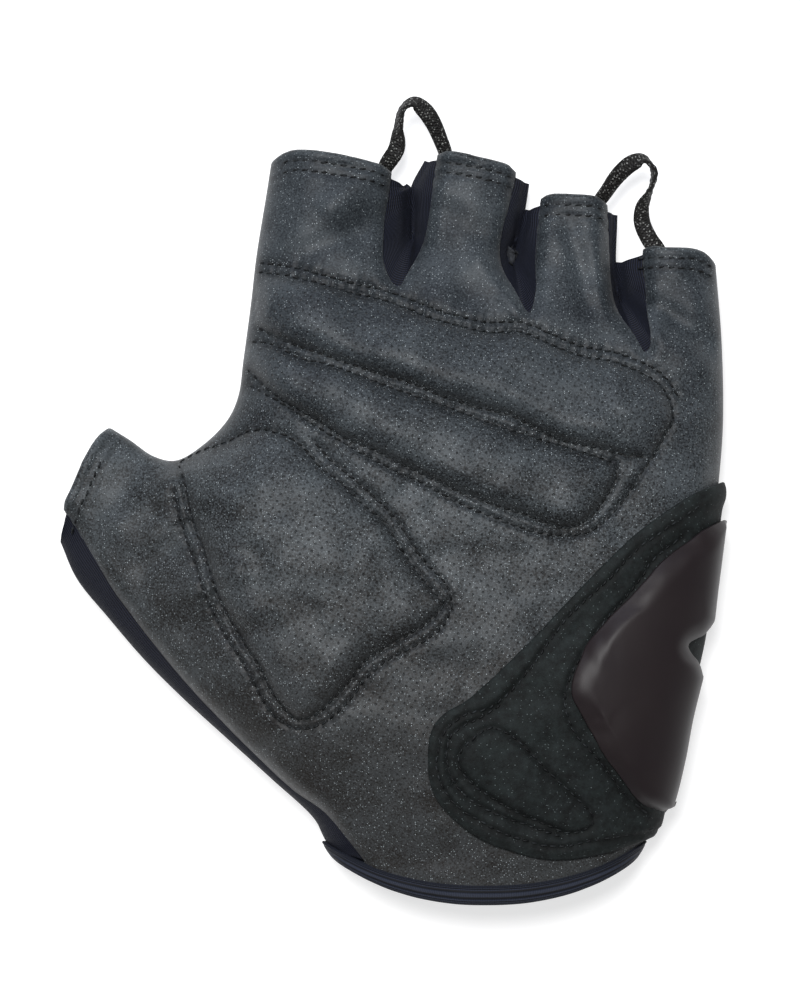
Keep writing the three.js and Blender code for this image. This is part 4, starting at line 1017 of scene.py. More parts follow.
def make_piece(name: str, shape: Shape, materials: Sequence[Material]) -> Object:
    """Puts a shape into a mesh object at the origin.

    Args:
        name: the piece's name.
        shape: its places in millimetres, and its faces as arrays of triangles, quads or more.
        materials: its finish, and the finish of the faces from shape.inner_from on, if any.

    Returns:
        The object, shaded smooth.
    """
    mesh = bpy.data.meshes.new(name)
    sizes = np.concatenate([np.full(len(f), f.shape[1]) for f in shape.faces]).astype(np.int32)
    corners = np.concatenate([f.ravel() for f in shape.faces]).astype(np.int32)
    starts = np.concatenate([[0], np.cumsum(sizes)[:-1]]).astype(np.int32)
    mesh.vertices.add(len(shape.places))
    mesh.vertices.foreach_set("co", (shape.places * MM).astype(np.float32).ravel())
    mesh.loops.add(len(corners))
    mesh.loops.foreach_set("vertex_index", corners)
    mesh.polygons.add(len(sizes))
    mesh.polygons.foreach_set("loop_start", starts)
    for material in materials:
        mesh.materials.append(material)
    if shape.inner_from >= 0 and len(materials) > 1:
        index = (np.arange(len(sizes)) >= shape.inner_from).astype(np.int32)
        mesh.polygons.foreach_set("material_index", index)
    if shape.uv is not None:
        layer = mesh.uv_layers.new(name="weave")
        layer.data.foreach_set("uv", shape.uv.astype(np.float32).ravel())
    for key, values in shape.attributes.items():
        data = mesh.attributes.new(key, "FLOAT", "POINT").data
        data.foreach_set("value", values.astype(np.float32))
    mesh.update(calc_edges=True)
    mesh.validate()
    mesh.polygons.foreach_set("use_smooth", np.ones(len(mesh.polygons), dtype=bool))
    piece = bpy.data.objects.new(name, mesh)
    bpy.context.scene.collection.objects.link(piece)
    triangles = int((sizes - 2).sum())
    log.info("%s: %d triangles", name, triangles)
    return piece


def declare(piece: Object, slot: str | None, *nodes: str) -> None:
    """Rides a piece on the glove's body, and hides the CAD parts, if any, that it stands in for."""
    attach(piece, "root")
    if nodes:
        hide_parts(*nodes)


RIM_TURNS = np.radians([36.0, 72.0, 108.0, 144.0])


def sheet_shape(
    outer: Net, outer_places: Array, inner: Net, inner_places: Array, bulge: float = 0.9
) -> Shape:
    """Closed sheet: an outer face, an inner face and a rounded rim between their outlines.

    Each point of the rim runs on a half circle from the outer edge to the inner one:
    middle + radius * (cos(turn) * through + bulge * sin(turn) * outward).

    Args:
        outer: net of the outer face.
        outer_places: its places in space.
        inner: net of the inner face, with the same places on its outline.
        inner_places: its places in space.
        bulge: how round the rim is.

    Returns:
        The shape, whose faces from inner_from on are those of the inner face.
    """
    rim = outer.rim()
    order = np.argsort(inner.keys)
    found = order[np.searchsorted(inner.keys[order], outer.keys[rim[:, 0]])]
    count, edge = len(outer_places), rim[:, 0]
    following = dict(zip(rim[:, 0].tolist(), range(len(rim))))
    nxt = np.array([following[b] for b in rim[:, 1].tolist()])
    previous = np.empty(len(rim), dtype=int)
    previous[nxt] = np.arange(len(rim))
    top, low = outer_places[edge], inner_places[found]
    middle, radius = (top + low) / 2, np.linalg.norm(top - low, axis=1)[:, None] / 2
    through = unit(top - low)
    outward = unit(np.cross(unit(top[nxt] - top[previous]), through))
    loops = [middle + radius * (math.cos(a) * through + bulge * math.sin(a) * outward) for a in RIM_TURNS]
    places = np.vstack([outer_places, inner_places, *loops])
    inner_ids = found + count
    base = count + len(inner_places)
    rings = [edge, *[base + k * len(rim) + np.arange(len(rim)) for k in range(len(loops))], inner_ids]
    quads = [np.column_stack([b[nxt], a[nxt], a, b]) for a, b in zip(rings[:-1], rings[1:])]
    under = inner.faces[:, ::-1] + count
    faces = [outer.faces, *quads, under]
    inner_from = len(outer.faces) + sum(len(q) for q in quads)
    return Shape(places, faces, inner_from=inner_from)


def pad_attribute(values: Array, shape: Shape, rest: float = 0.0) -> Array:
    """Attribute of the outer face's places, filled out for the rest of a sheet's places."""
    return np.concatenate([values, np.full(len(shape.places) - len(values), rest)])


# --- Finishes -----------------------------------------------------------------------------

TIMES = {"operation": "MULTIPLY"}
TIMES_PLUS = {"operation": "MULTIPLY_ADD"}
BELOW = {"operation": "LESS_THAN"}
ABOVE = {"operation": "GREATER_THAN"}
SINE = {"operation": "SINE"}


def linear(hex_colour: str) -> tuple[float, float, float, float]:
    """Linear colour of an sRGB hex value."""
    parts = [int(hex_colour[i : i + 2], 16) / 255 for i in (1, 3, 5)]
    r, g, b = (c / 12.92 if c <= 0.04045 else ((c + 0.055) / 1.055) ** 2.4 for c in parts)
    return (r, g, b, 1.0)


def set_inputs(tree: NodeTree, node: Node, **inputs: Any) -> None:
    """Sets or links a node's inputs.

    Args:
        tree: the node tree.
        node: the node.
        inputs: values, sockets or nodes (for their first output) for its inputs, by name with
            _ for a space, or iN for the N-th input.
    """
    for key, value in inputs.items():
        is_index = key[0] == "i" and key[1:].isdigit()
        socket = node.inputs[int(key[1:])] if is_index else node.inputs[key.replace("_", " ")]
        if isinstance(value, Node):
            value = value.outputs[0]
        if isinstance(value, NodeSocket):
            tree.links.new(value, socket)
        else:
            socket.default_value = value


def add_node(
    tree: NodeTree, kind: str, settings: dict[str, Any] | None = None, **inputs: Any
) -> Node:
    """Adds one node.

    Args:
        tree: the node tree.
        kind: the node's type, without the words ShaderNode.
        settings: properties to set, such as an operation.
        inputs: its inputs, as for set_inputs.

    Returns:
        The node.
    """
    node = tree.nodes.new("ShaderNode" + kind)
    for key, value in (settings or {}).items():
        setattr(node, key, value)
    set_inputs(tree, node, **inputs)
    return node


def ramp(tree: NodeTree, factor: Any, stops: Sequence[tuple[float, str]]) -> NodeSocket:
    """Colour read from a ramp of sRGB hex stops."""
    node = add_node(tree, "ValToRGB", Fac=factor)
    for element, (place, colour) in zip(node.color_ramp.elements, stops):
        element.position, element.color = place, linear(colour)
    return node.outputs["Color"]


def mixed(tree: NodeTree, factor: Any, base: Any, colour: str, most: float) -> NodeSocket:
    """Colour laid over a base by a factor times the most that it may reach."""
    scaled = add_node(tree, "Math", {**TIMES, "use_clamp": True}, i0=factor, i1=most)
    laid = add_node(tree, "Mix", {"data_type": "RGBA"}, i0=scaled, i6=base, i7=linear(colour))
    return laid.outputs[2]


def glints(tree: NodeTree, space: NodeSocket, cell: float, radius: float) -> tuple[Node, Node]:
    """Round points in cells of some millimetres, for painted glints, and each cell's three random numbers.
    """
    cells = add_node(tree, "TexVoronoi", Vector=space, Scale=1 / (cell * MM))
    near = add_node(tree, "Math", BELOW, i0=cells, i1=radius)
    return near, add_node(tree, "SeparateColor", Color=cells.outputs["Color"])


def weave_waves(tree: NodeTree, pitches: Sequence[float]) -> list[Node]:
    """Sine waves from -1 to 1 along and across the piece's own weave coordinates."""
    split = add_node(tree, "SeparateXYZ", Vector=add_node(tree, "UVMap", {"uv_map": "weave"}))
    turns = [2 * math.pi / pitch for pitch in pitches]
    scaled = [add_node(tree, "Math", TIMES, i0=split.outputs[k], i1=turn) for k, turn in enumerate(turns)]
    return [add_node(tree, "Math", SINE, i0=node) for node in scaled]


class Finish:
    """Base of the finishes: starts a material with its principled shader."""

    name = "finish"
    cloth_gloss = 0.2

    def start(self, **constants: Any) -> tuple[NodeTree, Node, Material, NodeSocket]:
        """New material: its tree, its shader with constants set, itself, and object places."""
        material = bpy.data.materials.new(self.name)
        material.use_nodes = True
        tree = material.node_tree
        tree.nodes.clear()
        shader = add_node(tree, "BsdfPrincipled", Specular_IOR_Level=self.cloth_gloss, **constants)
        add_node(tree, "OutputMaterial", Surface=shader)
        return tree, shader, material, add_node(tree, "TexCoord").outputs["Object"]


@dataclass(frozen=True)
class MicrofibreSuede(Finish):
    """Synthetic suede for glove palms: brushed polyurethane microfibre, perforated, with faint
    painted glints in the nap. Its colour carries painted shade in the sewn lines, a painted tint
    of light and shade by place, and nap patches whose sheen is painted. It looks satin where it
    faces the light and dull on its slopes."""

    name: str = "microfibre_suede"
    dark: str = "#0a0b0c"
    light: str = "#404548"
    # Tints of the painted light and shade by place.
    warm: str = "#201c18"
    cool: str = "#1f262d"
    # Colour of the painted glints.
    glint_colour: str = "#a9b2b5"
    # Colour of the painted shade in the sewn lines.
    groove_shade: str = "#08090a"
    hole: str = "#08090a"
    perforation: float = 1.65
    glint_cell: float = 0.44
    sweep: float = -38.0
    row_turn: float = 32.0

    def build(self) -> Material:
        """Colour from three sizes of mottle, a painted tint of light and shade by place, painted shade in
        the sewn lines, painted glints, holes.
        """
        tree, shader, material, space = self.start(Roughness=0.6, Sheen_Weight=0.06)
        mottle = add_node(tree, "TexNoise", Vector=space, Scale=150.0, Detail=5.0, Roughness=0.65)
        grain = add_node(tree, "TexNoise", Vector=space, Scale=1 / (0.4 * MM), Detail=2.0)
        # Nap brushed one way and the other in patches of some 15 mm, drawn out aslant: their sheen painted
        # as lighter and darker colour.
        aslant = (0.0, 0.0, math.radians(self.sweep))
        swept = add_node(tree, "Mapping", Vector=space, Rotation=aslant, Scale=(1.0, 2.4, 1.0))
        cloud = add_node(tree, "TexNoise", Vector=swept, Scale=62.0, Detail=2.0)
        level = add_node(tree, "Math", TIMES, i0=mottle, i1=0.22)
        for noise, share in ((grain, 0.54), (cloud, 0.24)):
            level = add_node(tree, "Math", TIMES_PLUS, i0=noise, i1=share, i2=level)
        body = ramp(tree, level, ((0.4, self.dark), (0.58, self.light)))
        painted_tint, groove, mask = (
            add_node(tree, "Attribute", {"attribute_name": name}).outputs["Fac"]
            for name in ("painted_tint", "groove", "perforated")
        )
        # Painted light and shade by place: a cool tint towards the fingers for the bluish light from above
        # them, and a warm tint towards the cuff and the thumb for the shade on the wrist's slope.
        cool = add_node(tree, "MapRange", {"clamp": True}, Value=painted_tint)
        warm = add_node(tree, "MapRange", {"clamp": True}, Value=painted_tint, From_Max=-1.0)
        tinted = mixed(tree, cool, body, self.cool, 0.4)
        tinted = mixed(tree, warm, tinted, self.warm, 0.5)
        # Painted shade: darker in the sewn grooves and along the hem rows.
        tinted = mixed(tree, groove, tinted, self.groove_shade, 0.62)
        # Painted glints of light in the nap: points of about 0.2 mm, closer together in some places.
        near, split = glints(tree, space, self.glint_cell, 0.22)
        scarce = add_node(tree, "Math", TIMES_PLUS, i0=mottle, i1=-1.5, i2=1.25)
        scarce = add_node(tree, "Math", TIMES_PLUS, i0=groove, i1=-0.25, i2=scarce)
        chosen = add_node(tree, "Math", ABOVE, i0=split, i1=scarce)
        bright = add_node(tree, "Math", TIMES, i0=near, i1=chosen)
        glint_spots = add_node(tree, "Math", TIMES, i0=bright, i1=split.outputs[1])
        coloured = mixed(tree, glint_spots, tinted, self.glint_colour, 0.7)
        # Perforations: holes of about 0.4 mm on a square pattern set aslant.
        turned = add_node(tree, "Mapping", Vector=space, Rotation=(0.0, 0.0, math.radians(self.row_turn)))
        holes = add_node(
            tree, "TexVoronoi", {"voronoi_dimensions": "2D"},
            Vector=turned, Scale=1 / (self.perforation * MM), Randomness=0.12,
        )
        pit = add_node(tree, "MapRange", {"clamp": True}, Value=holes, From_Min=0.16, From_Max=0.08)
        pits = add_node(tree, "Math", TIMES, i0=pit, i1=mask)
        # Nap: fibres of about 0.2 mm, drawn at 0.35 mm so that they show.
        nap = add_node(tree, "TexNoise", Vector=space, Scale=1 / (0.35 * MM), Detail=3.0)
        first = add_node(tree, "Bump", Height=nap, Strength=0.35, Distance=0.12 * MM)
        sunk = add_node(tree, "Math", TIMES, i0=pits, i1=-1.0)
        second = add_node(tree, "Bump", Height=sunk, Strength=0.8, Distance=0.25 * MM, Normal=first)
        gloss = add_node(tree, "MapRange", {"clamp": True}, Value=mottle, To_Min=0.62, To_Max=0.44)
        holed = mixed(tree, pits, coloured, self.hole, 0.6)
        set_inputs(tree, shader, Base_Color=holed, Normal=second, Roughness=gloss)
        return material


@dataclass(frozen=True)
class PatchSuede(Finish):
    """Charcoal microfibre of the heel patch: a closer, flatter nap with few painted glints."""

    name: str = "charcoal_microfibre"
    dark: str = "#060808"
    light: str = "#1b2121"
    # Colour of the painted shade in the sewn lines.
    groove_shade: str = "#050606"
    # Colour of the painted glints.
    glint_colour: str = "#7d8889"

    def build(self) -> Material:
        """Mottled charcoal, with painted shade in the sewn lines, a few painted glints and a fine nap."""
        tree, shader, material, space = self.start(Roughness=0.78)
        mottle = add_node(tree, "TexNoise", Vector=space, Scale=420.0, Detail=6.0, Roughness=0.8)
        body = ramp(tree, mottle, ((0.36, self.dark), (0.66, self.light)))
        groove = add_node(tree, "Attribute", {"attribute_name": "groove"}).outputs["Fac"]
        # Painted shade in the sewn lines.
        body = mixed(tree, groove, body, self.groove_shade, 0.6)
        # Painted glints of light in the nap.
        near, split = glints(tree, space, 0.7, 0.15)
        glint_spots = add_node(tree, "Math", TIMES, i0=near, i1=split.outputs[1])
        body = mixed(tree, glint_spots, body, self.glint_colour, 0.4)
        nap = add_node(tree, "TexNoise", Vector=space, Scale=1 / (0.4 * MM), Detail=3.0)
        bump = add_node(tree, "Bump", Height=nap, Strength=0.35, Distance=0.12 * MM)
        set_inputs(tree, shader, Base_Color=body, Normal=bump)
        return material


@dataclass(frozen=True)
class RibKnit(Finish):
    """Elastane rib knit: fine lengthwise ribs of dull filament yarn, dark between them."""

    name: str = "elastane_rib_knit"
    groove: str = "#030408"
    rib: str = "#181c2b"
    pitch: float = 0.55
    course: float = 0.5

    def build(self) -> Material:
        """Ribs across the weave's second coordinate, broken into stitches along the first."""
        tree, shader, material, _ = self.start(Roughness=0.72)
        waves = weave_waves(tree, (self.course, self.pitch))
        along, across = (add_node(tree, "Math", TIMES_PLUS, i0=w, i1=0.5, i2=0.5) for w in waves)
        broken = add_node(tree, "Math", TIMES_PLUS, i0=along, i1=0.35, i2=0.65)
        level = add_node(tree, "Math", TIMES, i0=across, i1=broken)
        body = ramp(tree, level, ((0.1, self.groove), (0.9, self.rib)))
        bump = add_node(tree, "Bump", Height=level, Strength=0.9, Distance=0.16 * MM)
        set_inputs(tree, shader, Base_Color=body, Normal=bump)
        return material


@dataclass(frozen=True)
class AirMesh(Finish):
    """Stretch mesh of the back of the hand: an even dark net with small round openings."""

    name: str = "stretch_mesh_knit"
    thread: str = "#2a2d34"
    hole: str = "#0d0e11"
    lint: str = "#3a3e47"
    pitch: float = 1.5

    def build(self) -> Material:
        """Round dimples on an even pattern in the plan, over a fine knit grain."""
        tree, shader, material, space = self.start(Roughness=0.7, Sheen_Weight=0.1)
        dots = add_node(
            tree, "TexVoronoi", {"voronoi_dimensions": "2D"},
            Vector=space, Scale=1 / (self.pitch * MM), Randomness=0.0,
        )
        body = ramp(tree, dots, ((0.16, self.hole), (0.34, self.thread)))
        grain = add_node(tree, "TexNoise", Vector=space, Scale=1 / (0.5 * MM), Detail=2.0)
        bump = add_node(tree, "Bump", Height=dots, Strength=0.7, Distance=0.3 * MM)
        set_inputs(tree, shader, Base_Color=mixed(tree, grain, body, self.lint, 0.3), Normal=bump)
        return material


@dataclass(frozen=True)
class Lining(Finish):
    """Brushed tricot lining: soft, dull and a little lighter than the shell."""

    name: str = "brushed_tricot_lining"
    dark: str = "#1c1d20"
    light: str = "#303236"

    def build(self) -> Material:
        """Plain dark grey with a fine loop grain."""
        tree, shader, material, space = self.start(Roughness=0.9)
        grain = add_node(tree, "TexNoise", Vector=space, Scale=1 / (0.6 * MM), Detail=3.0)
        body = ramp(tree, grain, ((0.3, self.dark), (0.7, self.light)))
        bump = add_node(tree, "Bump", Height=grain, Strength=0.5, Distance=0.2 * MM)
        set_inputs(tree, shader, Base_Color=body, Normal=bump)
        return material


@dataclass(frozen=True)
class GelSkin(Finish):
    """Moulded thermoplastic gel cover: brown-black, smooth, with a soft satin gloss."""

    name: str = "moulded_gel_skin"
    dark: str = "#1a1416"
    light: str = "#1e1819"

    def build(self) -> Material:
        """Near-even colour, with a very slight cloudiness in its colour and gloss."""
        tree, shader, material, space = self.start(Roughness=0.5)
        cloud = add_node(tree, "TexNoise", Vector=space, Scale=60.0, Detail=3.0)
        body = ramp(tree, cloud, ((0.3, self.dark), (0.7, self.light)))
        gloss = add_node(tree, "MapRange", {"clamp": True}, Value=cloud, To_Min=0.44, To_Max=0.52)
        grain = add_node(tree, "TexNoise", Vector=space, Scale=1 / (1.2 * MM), Detail=2.0)
        bump = add_node(tree, "Bump", Height=grain, Strength=0.06, Distance=0.1 * MM)
        set_inputs(tree, shader, Base_Color=body, Roughness=gloss, Normal=bump)
        return material


@dataclass(frozen=True)
class Thread(Finish):
    """Bonded polyester sewing thread: black, twisted, with little gloss."""

    name: str = "polyester_thread"
    dark: str = "#060708"
    light: str = "#25292b"

    def build(self) -> Material:
        """Black with uneven lightness from stitch to stitch."""
        tree, shader, material, space = self.start(Roughness=0.6)
        shade = add_node(tree, "TexNoise", Vector=space, Scale=700.0, Detail=2.0)
        set_inputs(tree, shader, Base_Color=ramp(tree, shade, ((0.42, self.dark), (0.75, self.light))))
        return material


@dataclass(frozen=True)
class WovenTape(Finish):
    """Woven polyester tape: warp cords crossed by a fine weft, black, with painted glints on the raised
    weave.
    """

    name: str = "woven_polyester_tape"
    dark: str = "#050505"
    light: str = "#201f1d"
    # Colour of the painted glints.
    glint_colour: str = "#a3a4a0"
    pick: float = 0.62
    end: float = 0.6

    def build(self) -> Material:
        """Plain weave from two waves on the tape's own coordinates, and a few painted glints where the weave
        is raised.
        """
        tree, shader, material, space = self.start(Roughness=0.6)
        along, across = weave_waves(tree, (self.pick, self.end))
        product = add_node(tree, "Math", TIMES, i0=along, i1=across)
        level = add_node(tree, "Math", TIMES_PLUS, i0=product, i1=0.5, i2=0.5)
        body = ramp(tree, level, ((0.3, self.dark), (0.9, self.light)))
        # Painted glints of light where the weave is raised.
        near = add_node(tree, "Math", TIMES, i0=glints(tree, space, 0.6, 0.3)[0], i1=level)
        bump = add_node(tree, "Bump", Height=level, Strength=0.8, Distance=0.2 * MM)
        set_inputs(tree, shader, Base_Color=mixed(tree, near, body, self.glint_colour, 0.6), Normal=bump)
        return material


@dataclass(frozen=True)
class Foam(Finish):
    """Closed-cell polyurethane foam insert, seen only from inside: dull, finely pitted."""

    name: str = "closed_cell_foam"
    dark: str = "#222426"
    light: str = "#44474a"

    def build(self) -> Material:
        """Grey with small cells."""
        tree, shader, material, space = self.start(Roughness=0.95)
        cells = add_node(tree, "TexVoronoi", Vector=space, Scale=1 / (0.6 * MM))
        body = ramp(tree, cells, ((0.0, self.dark), (0.6, self.light)))
        bump = add_node(tree, "Bump", Height=cells, Strength=0.5, Distance=0.2 * MM)
        set_inputs(tree, shader, Base_Color=body, Normal=bump)
        return material


@dataclass(frozen=True)
class PaperFloor(Finish):
    """Seamless white background paper, lit from behind as well, so that it stays white."""

    name: str = "background_paper"
    glow: float = 0.66

    def build(self) -> Material:
        """Matt, with a hardly visible grain and an even glow."""
        tree, shader, material, space = self.start(Roughness=0.95, Emission_Strength=self.glow)
        grain = add_node(tree, "TexNoise", Vector=space, Scale=40.0)
        body = ramp(tree, grain, ((0.0, "#b8b8b8"), (1.0, "#bebebe")))
        set_inputs(tree, shader, Base_Color=body, Emission_Color=linear("#ffffff"))
        return material


# --- Pieces -------------------------------------------------------------------------------


@dataclass
class PalmPanel:
    """The suede palm: padding, sewn channels, hems, folds and perforations."""

    pattern: Pattern
    skin: Skin
    step: float = 0.8
    fine_step: float = 0.48
    inner_step: float = 1.9
    cuff_tuck: float = 2.2
    hem_extra: float = 0.7
    hem_depth: float = 5.2

    def legs(self) -> list[Leg]:
        """Outline from the cuff up the little-finger side, over the hems and down the thumb."""
        return panel_legs(self.pattern, Face.PALM, self.cuff_tuck, self.step)

    def hem_distance(self, xy: Array) -> Array:
        """Distance from the nearest hem, of a finger or the thumb."""
        s = np.linspace(0, 1, 60)
        hems = [h.at(s) for h in self.pattern.hems] + [self.pattern.thumb_hem(s)]
        return np.min([Edge(line).distance(xy) for line in hems], axis=0)

    def relief(self, hem: Array) -> Array:
        """Rolled hems: a swell at the edge, and a shallow trough at each row of stitches."""
        swell = 0.35 * np.exp(-((hem / 1.0) ** 2))
        rows = sum(0.4 * np.exp(-(((hem - row) / 0.55) ** 2)) for row in HEM_ROWS)
        between = 0.16 * np.exp(-(((hem - sum(HEM_ROWS) / 2) / 0.7) ** 2))
        return swell - rows + between

    def tuck(self, xy: Array) -> Array:
        """How far the edge beside a gusset or the side strip turns down, by distance."""
        lines = [c.seam(Face.PALM).line for c in self.pattern.creases]
        lines.append(self.pattern.strip_seam(Face.PALM).line)
        d = np.min([Edge(line).distance(xy) for line in lines], axis=0)
        return 0.9 * np.exp(-d / 0.9) - 0.25 * np.exp(-(((d - 2.2) / 1.4) ** 2))

    def build(self) -> Shape:
        """Outer and inner faces from the skin, joined by a rounded rim."""
        legs = self.legs()
        lines = [Edge(Path(g.points).line) for g in self.skin.grooves]
        outer = weave_net(legs, self.step, self.fine_step, lines)
        inner = weave_net(legs, self.inner_step)
        hem = self.hem_distance(outer.xy)
        places = np.column_stack([outer.xy, self.skin.top(outer.xy, outer.own, outer.line)])
        edge = np.min([e.distance(outer.xy) for e in self.pattern.silhouette], axis=0)
        fade = np.clip(edge / 1.5, 0, 1)
        places[:, 2] += (self.relief(hem) - self.tuck(outer.xy)) * fade
        under = np.column_stack([inner.xy, self.skin.top(inner.xy, inner.own, inner.line, is_sewn=False)])
        thick = SUEDE + self.hem_extra * (self.hem_distance(inner.xy) < self.hem_depth)
        under -= vertex_normals(under, inner.faces) * thick[:, None]
        shape = sheet_shape(outer, places, inner, under)
        # How deep in a sewn line each place lies: the finish lays painted shade there.
        _, groove = self.skin.sewing(outer.xy)
        x, y = outer.xy[:, 0], outer.xy[:, 1]
        # The hem rows, where the finish also lays painted shade.
        hem_lines = sum(np.exp(-(((hem - row) / 0.6) ** 2)) for row in HEM_ROWS)
        # Painted light and shade by place: above 0 towards the fingers (cool), below 0 towards the cuff and
        # the thumb (warm).
        painted_tint = np.clip((y - 8.0) / 45.0, -1, 1) - 0.25 * ease((-x - 50) / 20)
        below_fingers = ease((52.0 - 0.24 * x - y) / 6)
        holes = below_fingers * ease((x + 62) / 10) * ease((y + 58) / 12) * ease((edge - 2.5) / 4)
        shape.attributes = {
            "groove": pad_attribute(np.clip(groove * 0.8 + 0.6 * hem_lines, 0, 1), shape),
            "painted_tint": pad_attribute(painted_tint, shape),
            "perforated": pad_attribute(holes, shape),
        }
        return shape

    def dress(self, suede: Material, lining: Material) -> Object:
        piece = make_piece("palm_suede_panel", self.build(), [suede, lining])
        declare(piece, "suede", "palm_panel")
        return piece


def panel_legs(pattern: Pattern, face: Face, above: float, step: float) -> list[Leg]:
    """Outline of the palm or the back, anticlockwise.

    Args:
        pattern: the plan.
        face: which panel.
        above: how far above the cuff's edge the panel ends.
        step: spacing of the points.

    Returns:
        The legs, of which those on the two open sides are steep.
    """
    def piece_of(points: Array) -> Array:
        arc = run_lengths(points)
        even = np.linspace(0, arc[-1], max(3, int(arc[-1] / step) + 1))
        return read_along(points, arc, even)

    def share_on(hem: Hem, point: Array) -> float:
        return float((point[0] - hem.left_corner[0]) / (hem.right_corner[0] - hem.left_corner[0]))

    seams = [c.seam(face, 0.1) for c in pattern.creases]
    strip = pattern.strip_seam(face, 0.1)
    foot_start, foot_end = pattern.cuff(0.0, above), pattern.cuff(1.0, above)
    strip_line = strip.line
    end_share = float((strip_line[-1][0] - foot_start[0]) / (foot_end[0] - foot_start[0]))
    cuff_line = pattern.cuff(np.linspace(end_share, 1.0, 200), above)
    strip_line = np.vstack([strip_line, cuff_line[:1]])
    little = pattern.little_side
    stop = 1 - above / little.length
    legs = [
        Leg(piece_of(cuff_line)),
        Leg(spaced(little, stop, 0.0, step), 2),
    ]
    for k in (3, 2, 1, 0):
        hem = pattern.hems[k]
        start = 1.0 if k == 3 else share_on(hem, seams[k].at(0.0))
        end = 0.0 if k == 0 else share_on(hem, seams[k - 1].at(1.0))
        legs.append(Leg(piece_of(hem.at(np.linspace(start, end, 120), face))))
        if k:
            legs.append(Leg(piece_of(seams[k - 1].line[::-1])))
    legs.append(Leg(spaced(pattern.crotch_side, 1.0, 0.0, step), 1))
    begin = strip.at(0.0)
    opening = np.linalg.norm(begin - pattern.thumb_hem(0.0)) / THUMB_OPENING
    legs.append(Leg(piece_of(pattern.thumb_hem(np.linspace(1.0, opening, 120)))))
    legs.append(Leg(piece_of(strip_line)))
    return legs


@dataclass
class BackPanel:
    """The stretch-mesh back, which lies on the floor."""

    pattern: Pattern
    skin: Skin
    step: float = 1.3
    inner_step: float = 2.4
    cuff_tuck: float = 2.2

    def build(self) -> Shape:
        """Outer and inner faces of the lower skin; the faces look down."""
        legs = panel_legs(self.pattern, Face.BACK, self.cuff_tuck, 1.0)
        nets = [weave_net(legs, self.step), weave_net(legs, self.inner_step)]
        for net in nets:
            net.faces = net.faces[:, ::-1]
        outer, inner = nets
        places = np.column_stack([outer.xy, self.skin.bottom(outer.xy, outer.own, outer.line)])
        under = np.column_stack([inner.xy, self.skin.bottom(inner.xy, inner.own, inner.line)])
        under -= vertex_normals(under, inner.faces) * KNIT
        return sheet_shape(outer, places, inner, under)

    def dress(self, mesh: Material, lining: Material) -> Object:
        piece = make_piece("back_mesh_panel", self.build(), [mesh, lining])
        declare(piece, "back_knit", "back_panel")
        return piece


@dataclass
class Gusset:
    """A knit strip that wraps a side, from under the palm's edge to under the back's."""

    skin: Skin
    name: str
    node: str
    curves: tuple[Path, Path, Path]
    knees: tuple[float, float, float]
    is_backwards: bool = False
    rows: int = 150
    columns: int = 14
    sunk_edge: float = 1.35
    sunk_middle: float = 0.25
    swell: float = 0.0

    def build(self) -> Shape:
        """Grid between the two seams and the silhouette.

        Across the strip the plan place runs from the seam to the silhouette with shares
        1 - (1 - t)^2, so that the rows crowd where the cloth stands upright. The surface
        lies under the suede at its edges and swells out between them.
        """
        along = np.linspace(0, 1, self.rows)
        along = along[::-1] if self.is_backwards else along
        a, b, c = (curve.kneed(knee, along) for curve, knee in zip(self.curves, self.knees))
        t = np.linspace(0, 1, self.columns)
        share = (1 - (1 - t) ** 2)[None, :, None]
        upper = a[:, None] + (b - a)[:, None] * share
        lower = c[:, None] + (b - c)[:, None] * share
        n, m = self.rows, self.columns
        top = self.skin.lifted(upper[:, :-1].reshape(-1, 2), Face.PALM, is_sewn=False).reshape(n, m - 1, 3)
        low = self.skin.lifted(lower[:, :-1].reshape(-1, 2), Face.BACK).reshape(n, m - 1, 3)
        edge = np.column_stack([b, self.skin.side(b)])[:, None]
        grid = np.concatenate([top, edge, low[:, ::-1]], axis=1)
        wide = grid.shape[1]
        reach = 4
        padded = np.concatenate([grid[:1]] * reach + [grid] + [grid[-1:]] * reach)
        du = padded[2 * reach :] - padded[: -2 * reach]
        dv = np.gradient(grid, axis=1)
        normal = unit(np.cross(du, dv))
        padded = np.concatenate([normal[:1]] * reach + [normal] + [normal[-1:]] * reach)
        normal = unit(sum(padded[k : k + n] for k in range(2 * reach + 1)))
        across = np.concatenate([t[:-1], [1.0], t[:-1][::-1]])
        sink = self.sunk_middle + (self.sunk_edge - self.sunk_middle) * (1 - ease(across / 0.55))
        sink = sink - self.swell * ease((across - 0.75) / 0.25)
        outer = grid - normal * sink[None, :, None]
        inner = outer - normal * KNIT
        arc_u = run_lengths(grid[:, wide // 2])
        step_v = np.linalg.norm(np.diff(grid, axis=1, prepend=grid[:, :1]), axis=2)
        arc_v = np.cumsum(step_v, axis=1)
        places = np.vstack([outer.reshape(-1, 3), inner.reshape(-1, 3)])
        quads = grid_quads(n, wide, False, False)
        face_out = quads[:, ::-1]
        count = n * wide
        rim = grid_rim(n, wide)
        following = np.roll(rim, -1)
        sides = np.column_stack([rim, following, following + count, rim + count])
        faces = [face_out, sides, quads + count]
        coordinates = np.stack([np.broadcast_to(arc_u[:, None], (n, wide)), arc_v], axis=-1).reshape(-1, 2)
        coordinates = np.vstack([coordinates, coordinates])
        uv = np.concatenate([coordinates[f.ravel()] for f in faces])
        return Shape(places, faces, uv=uv, inner_from=len(face_out) + len(sides))

    def dress(self, knit: Material, lining: Material) -> Object:
        piece = make_piece(self.name, self.build(), [knit, lining])
        declare(piece, "rib_knit", self.node)
        return piece


def grid_rim(n: int, m: int) -> Array:
    """Places round the outline of a grid of n rows of m, in order."""
    last = (n - 1) * m
    return np.concatenate([
        np.arange(m), np.arange(1, n) * m + m - 1,
        last + np.arange(m - 2, -1, -1), np.arange(n - 2, 0, -1) * m,
    ])


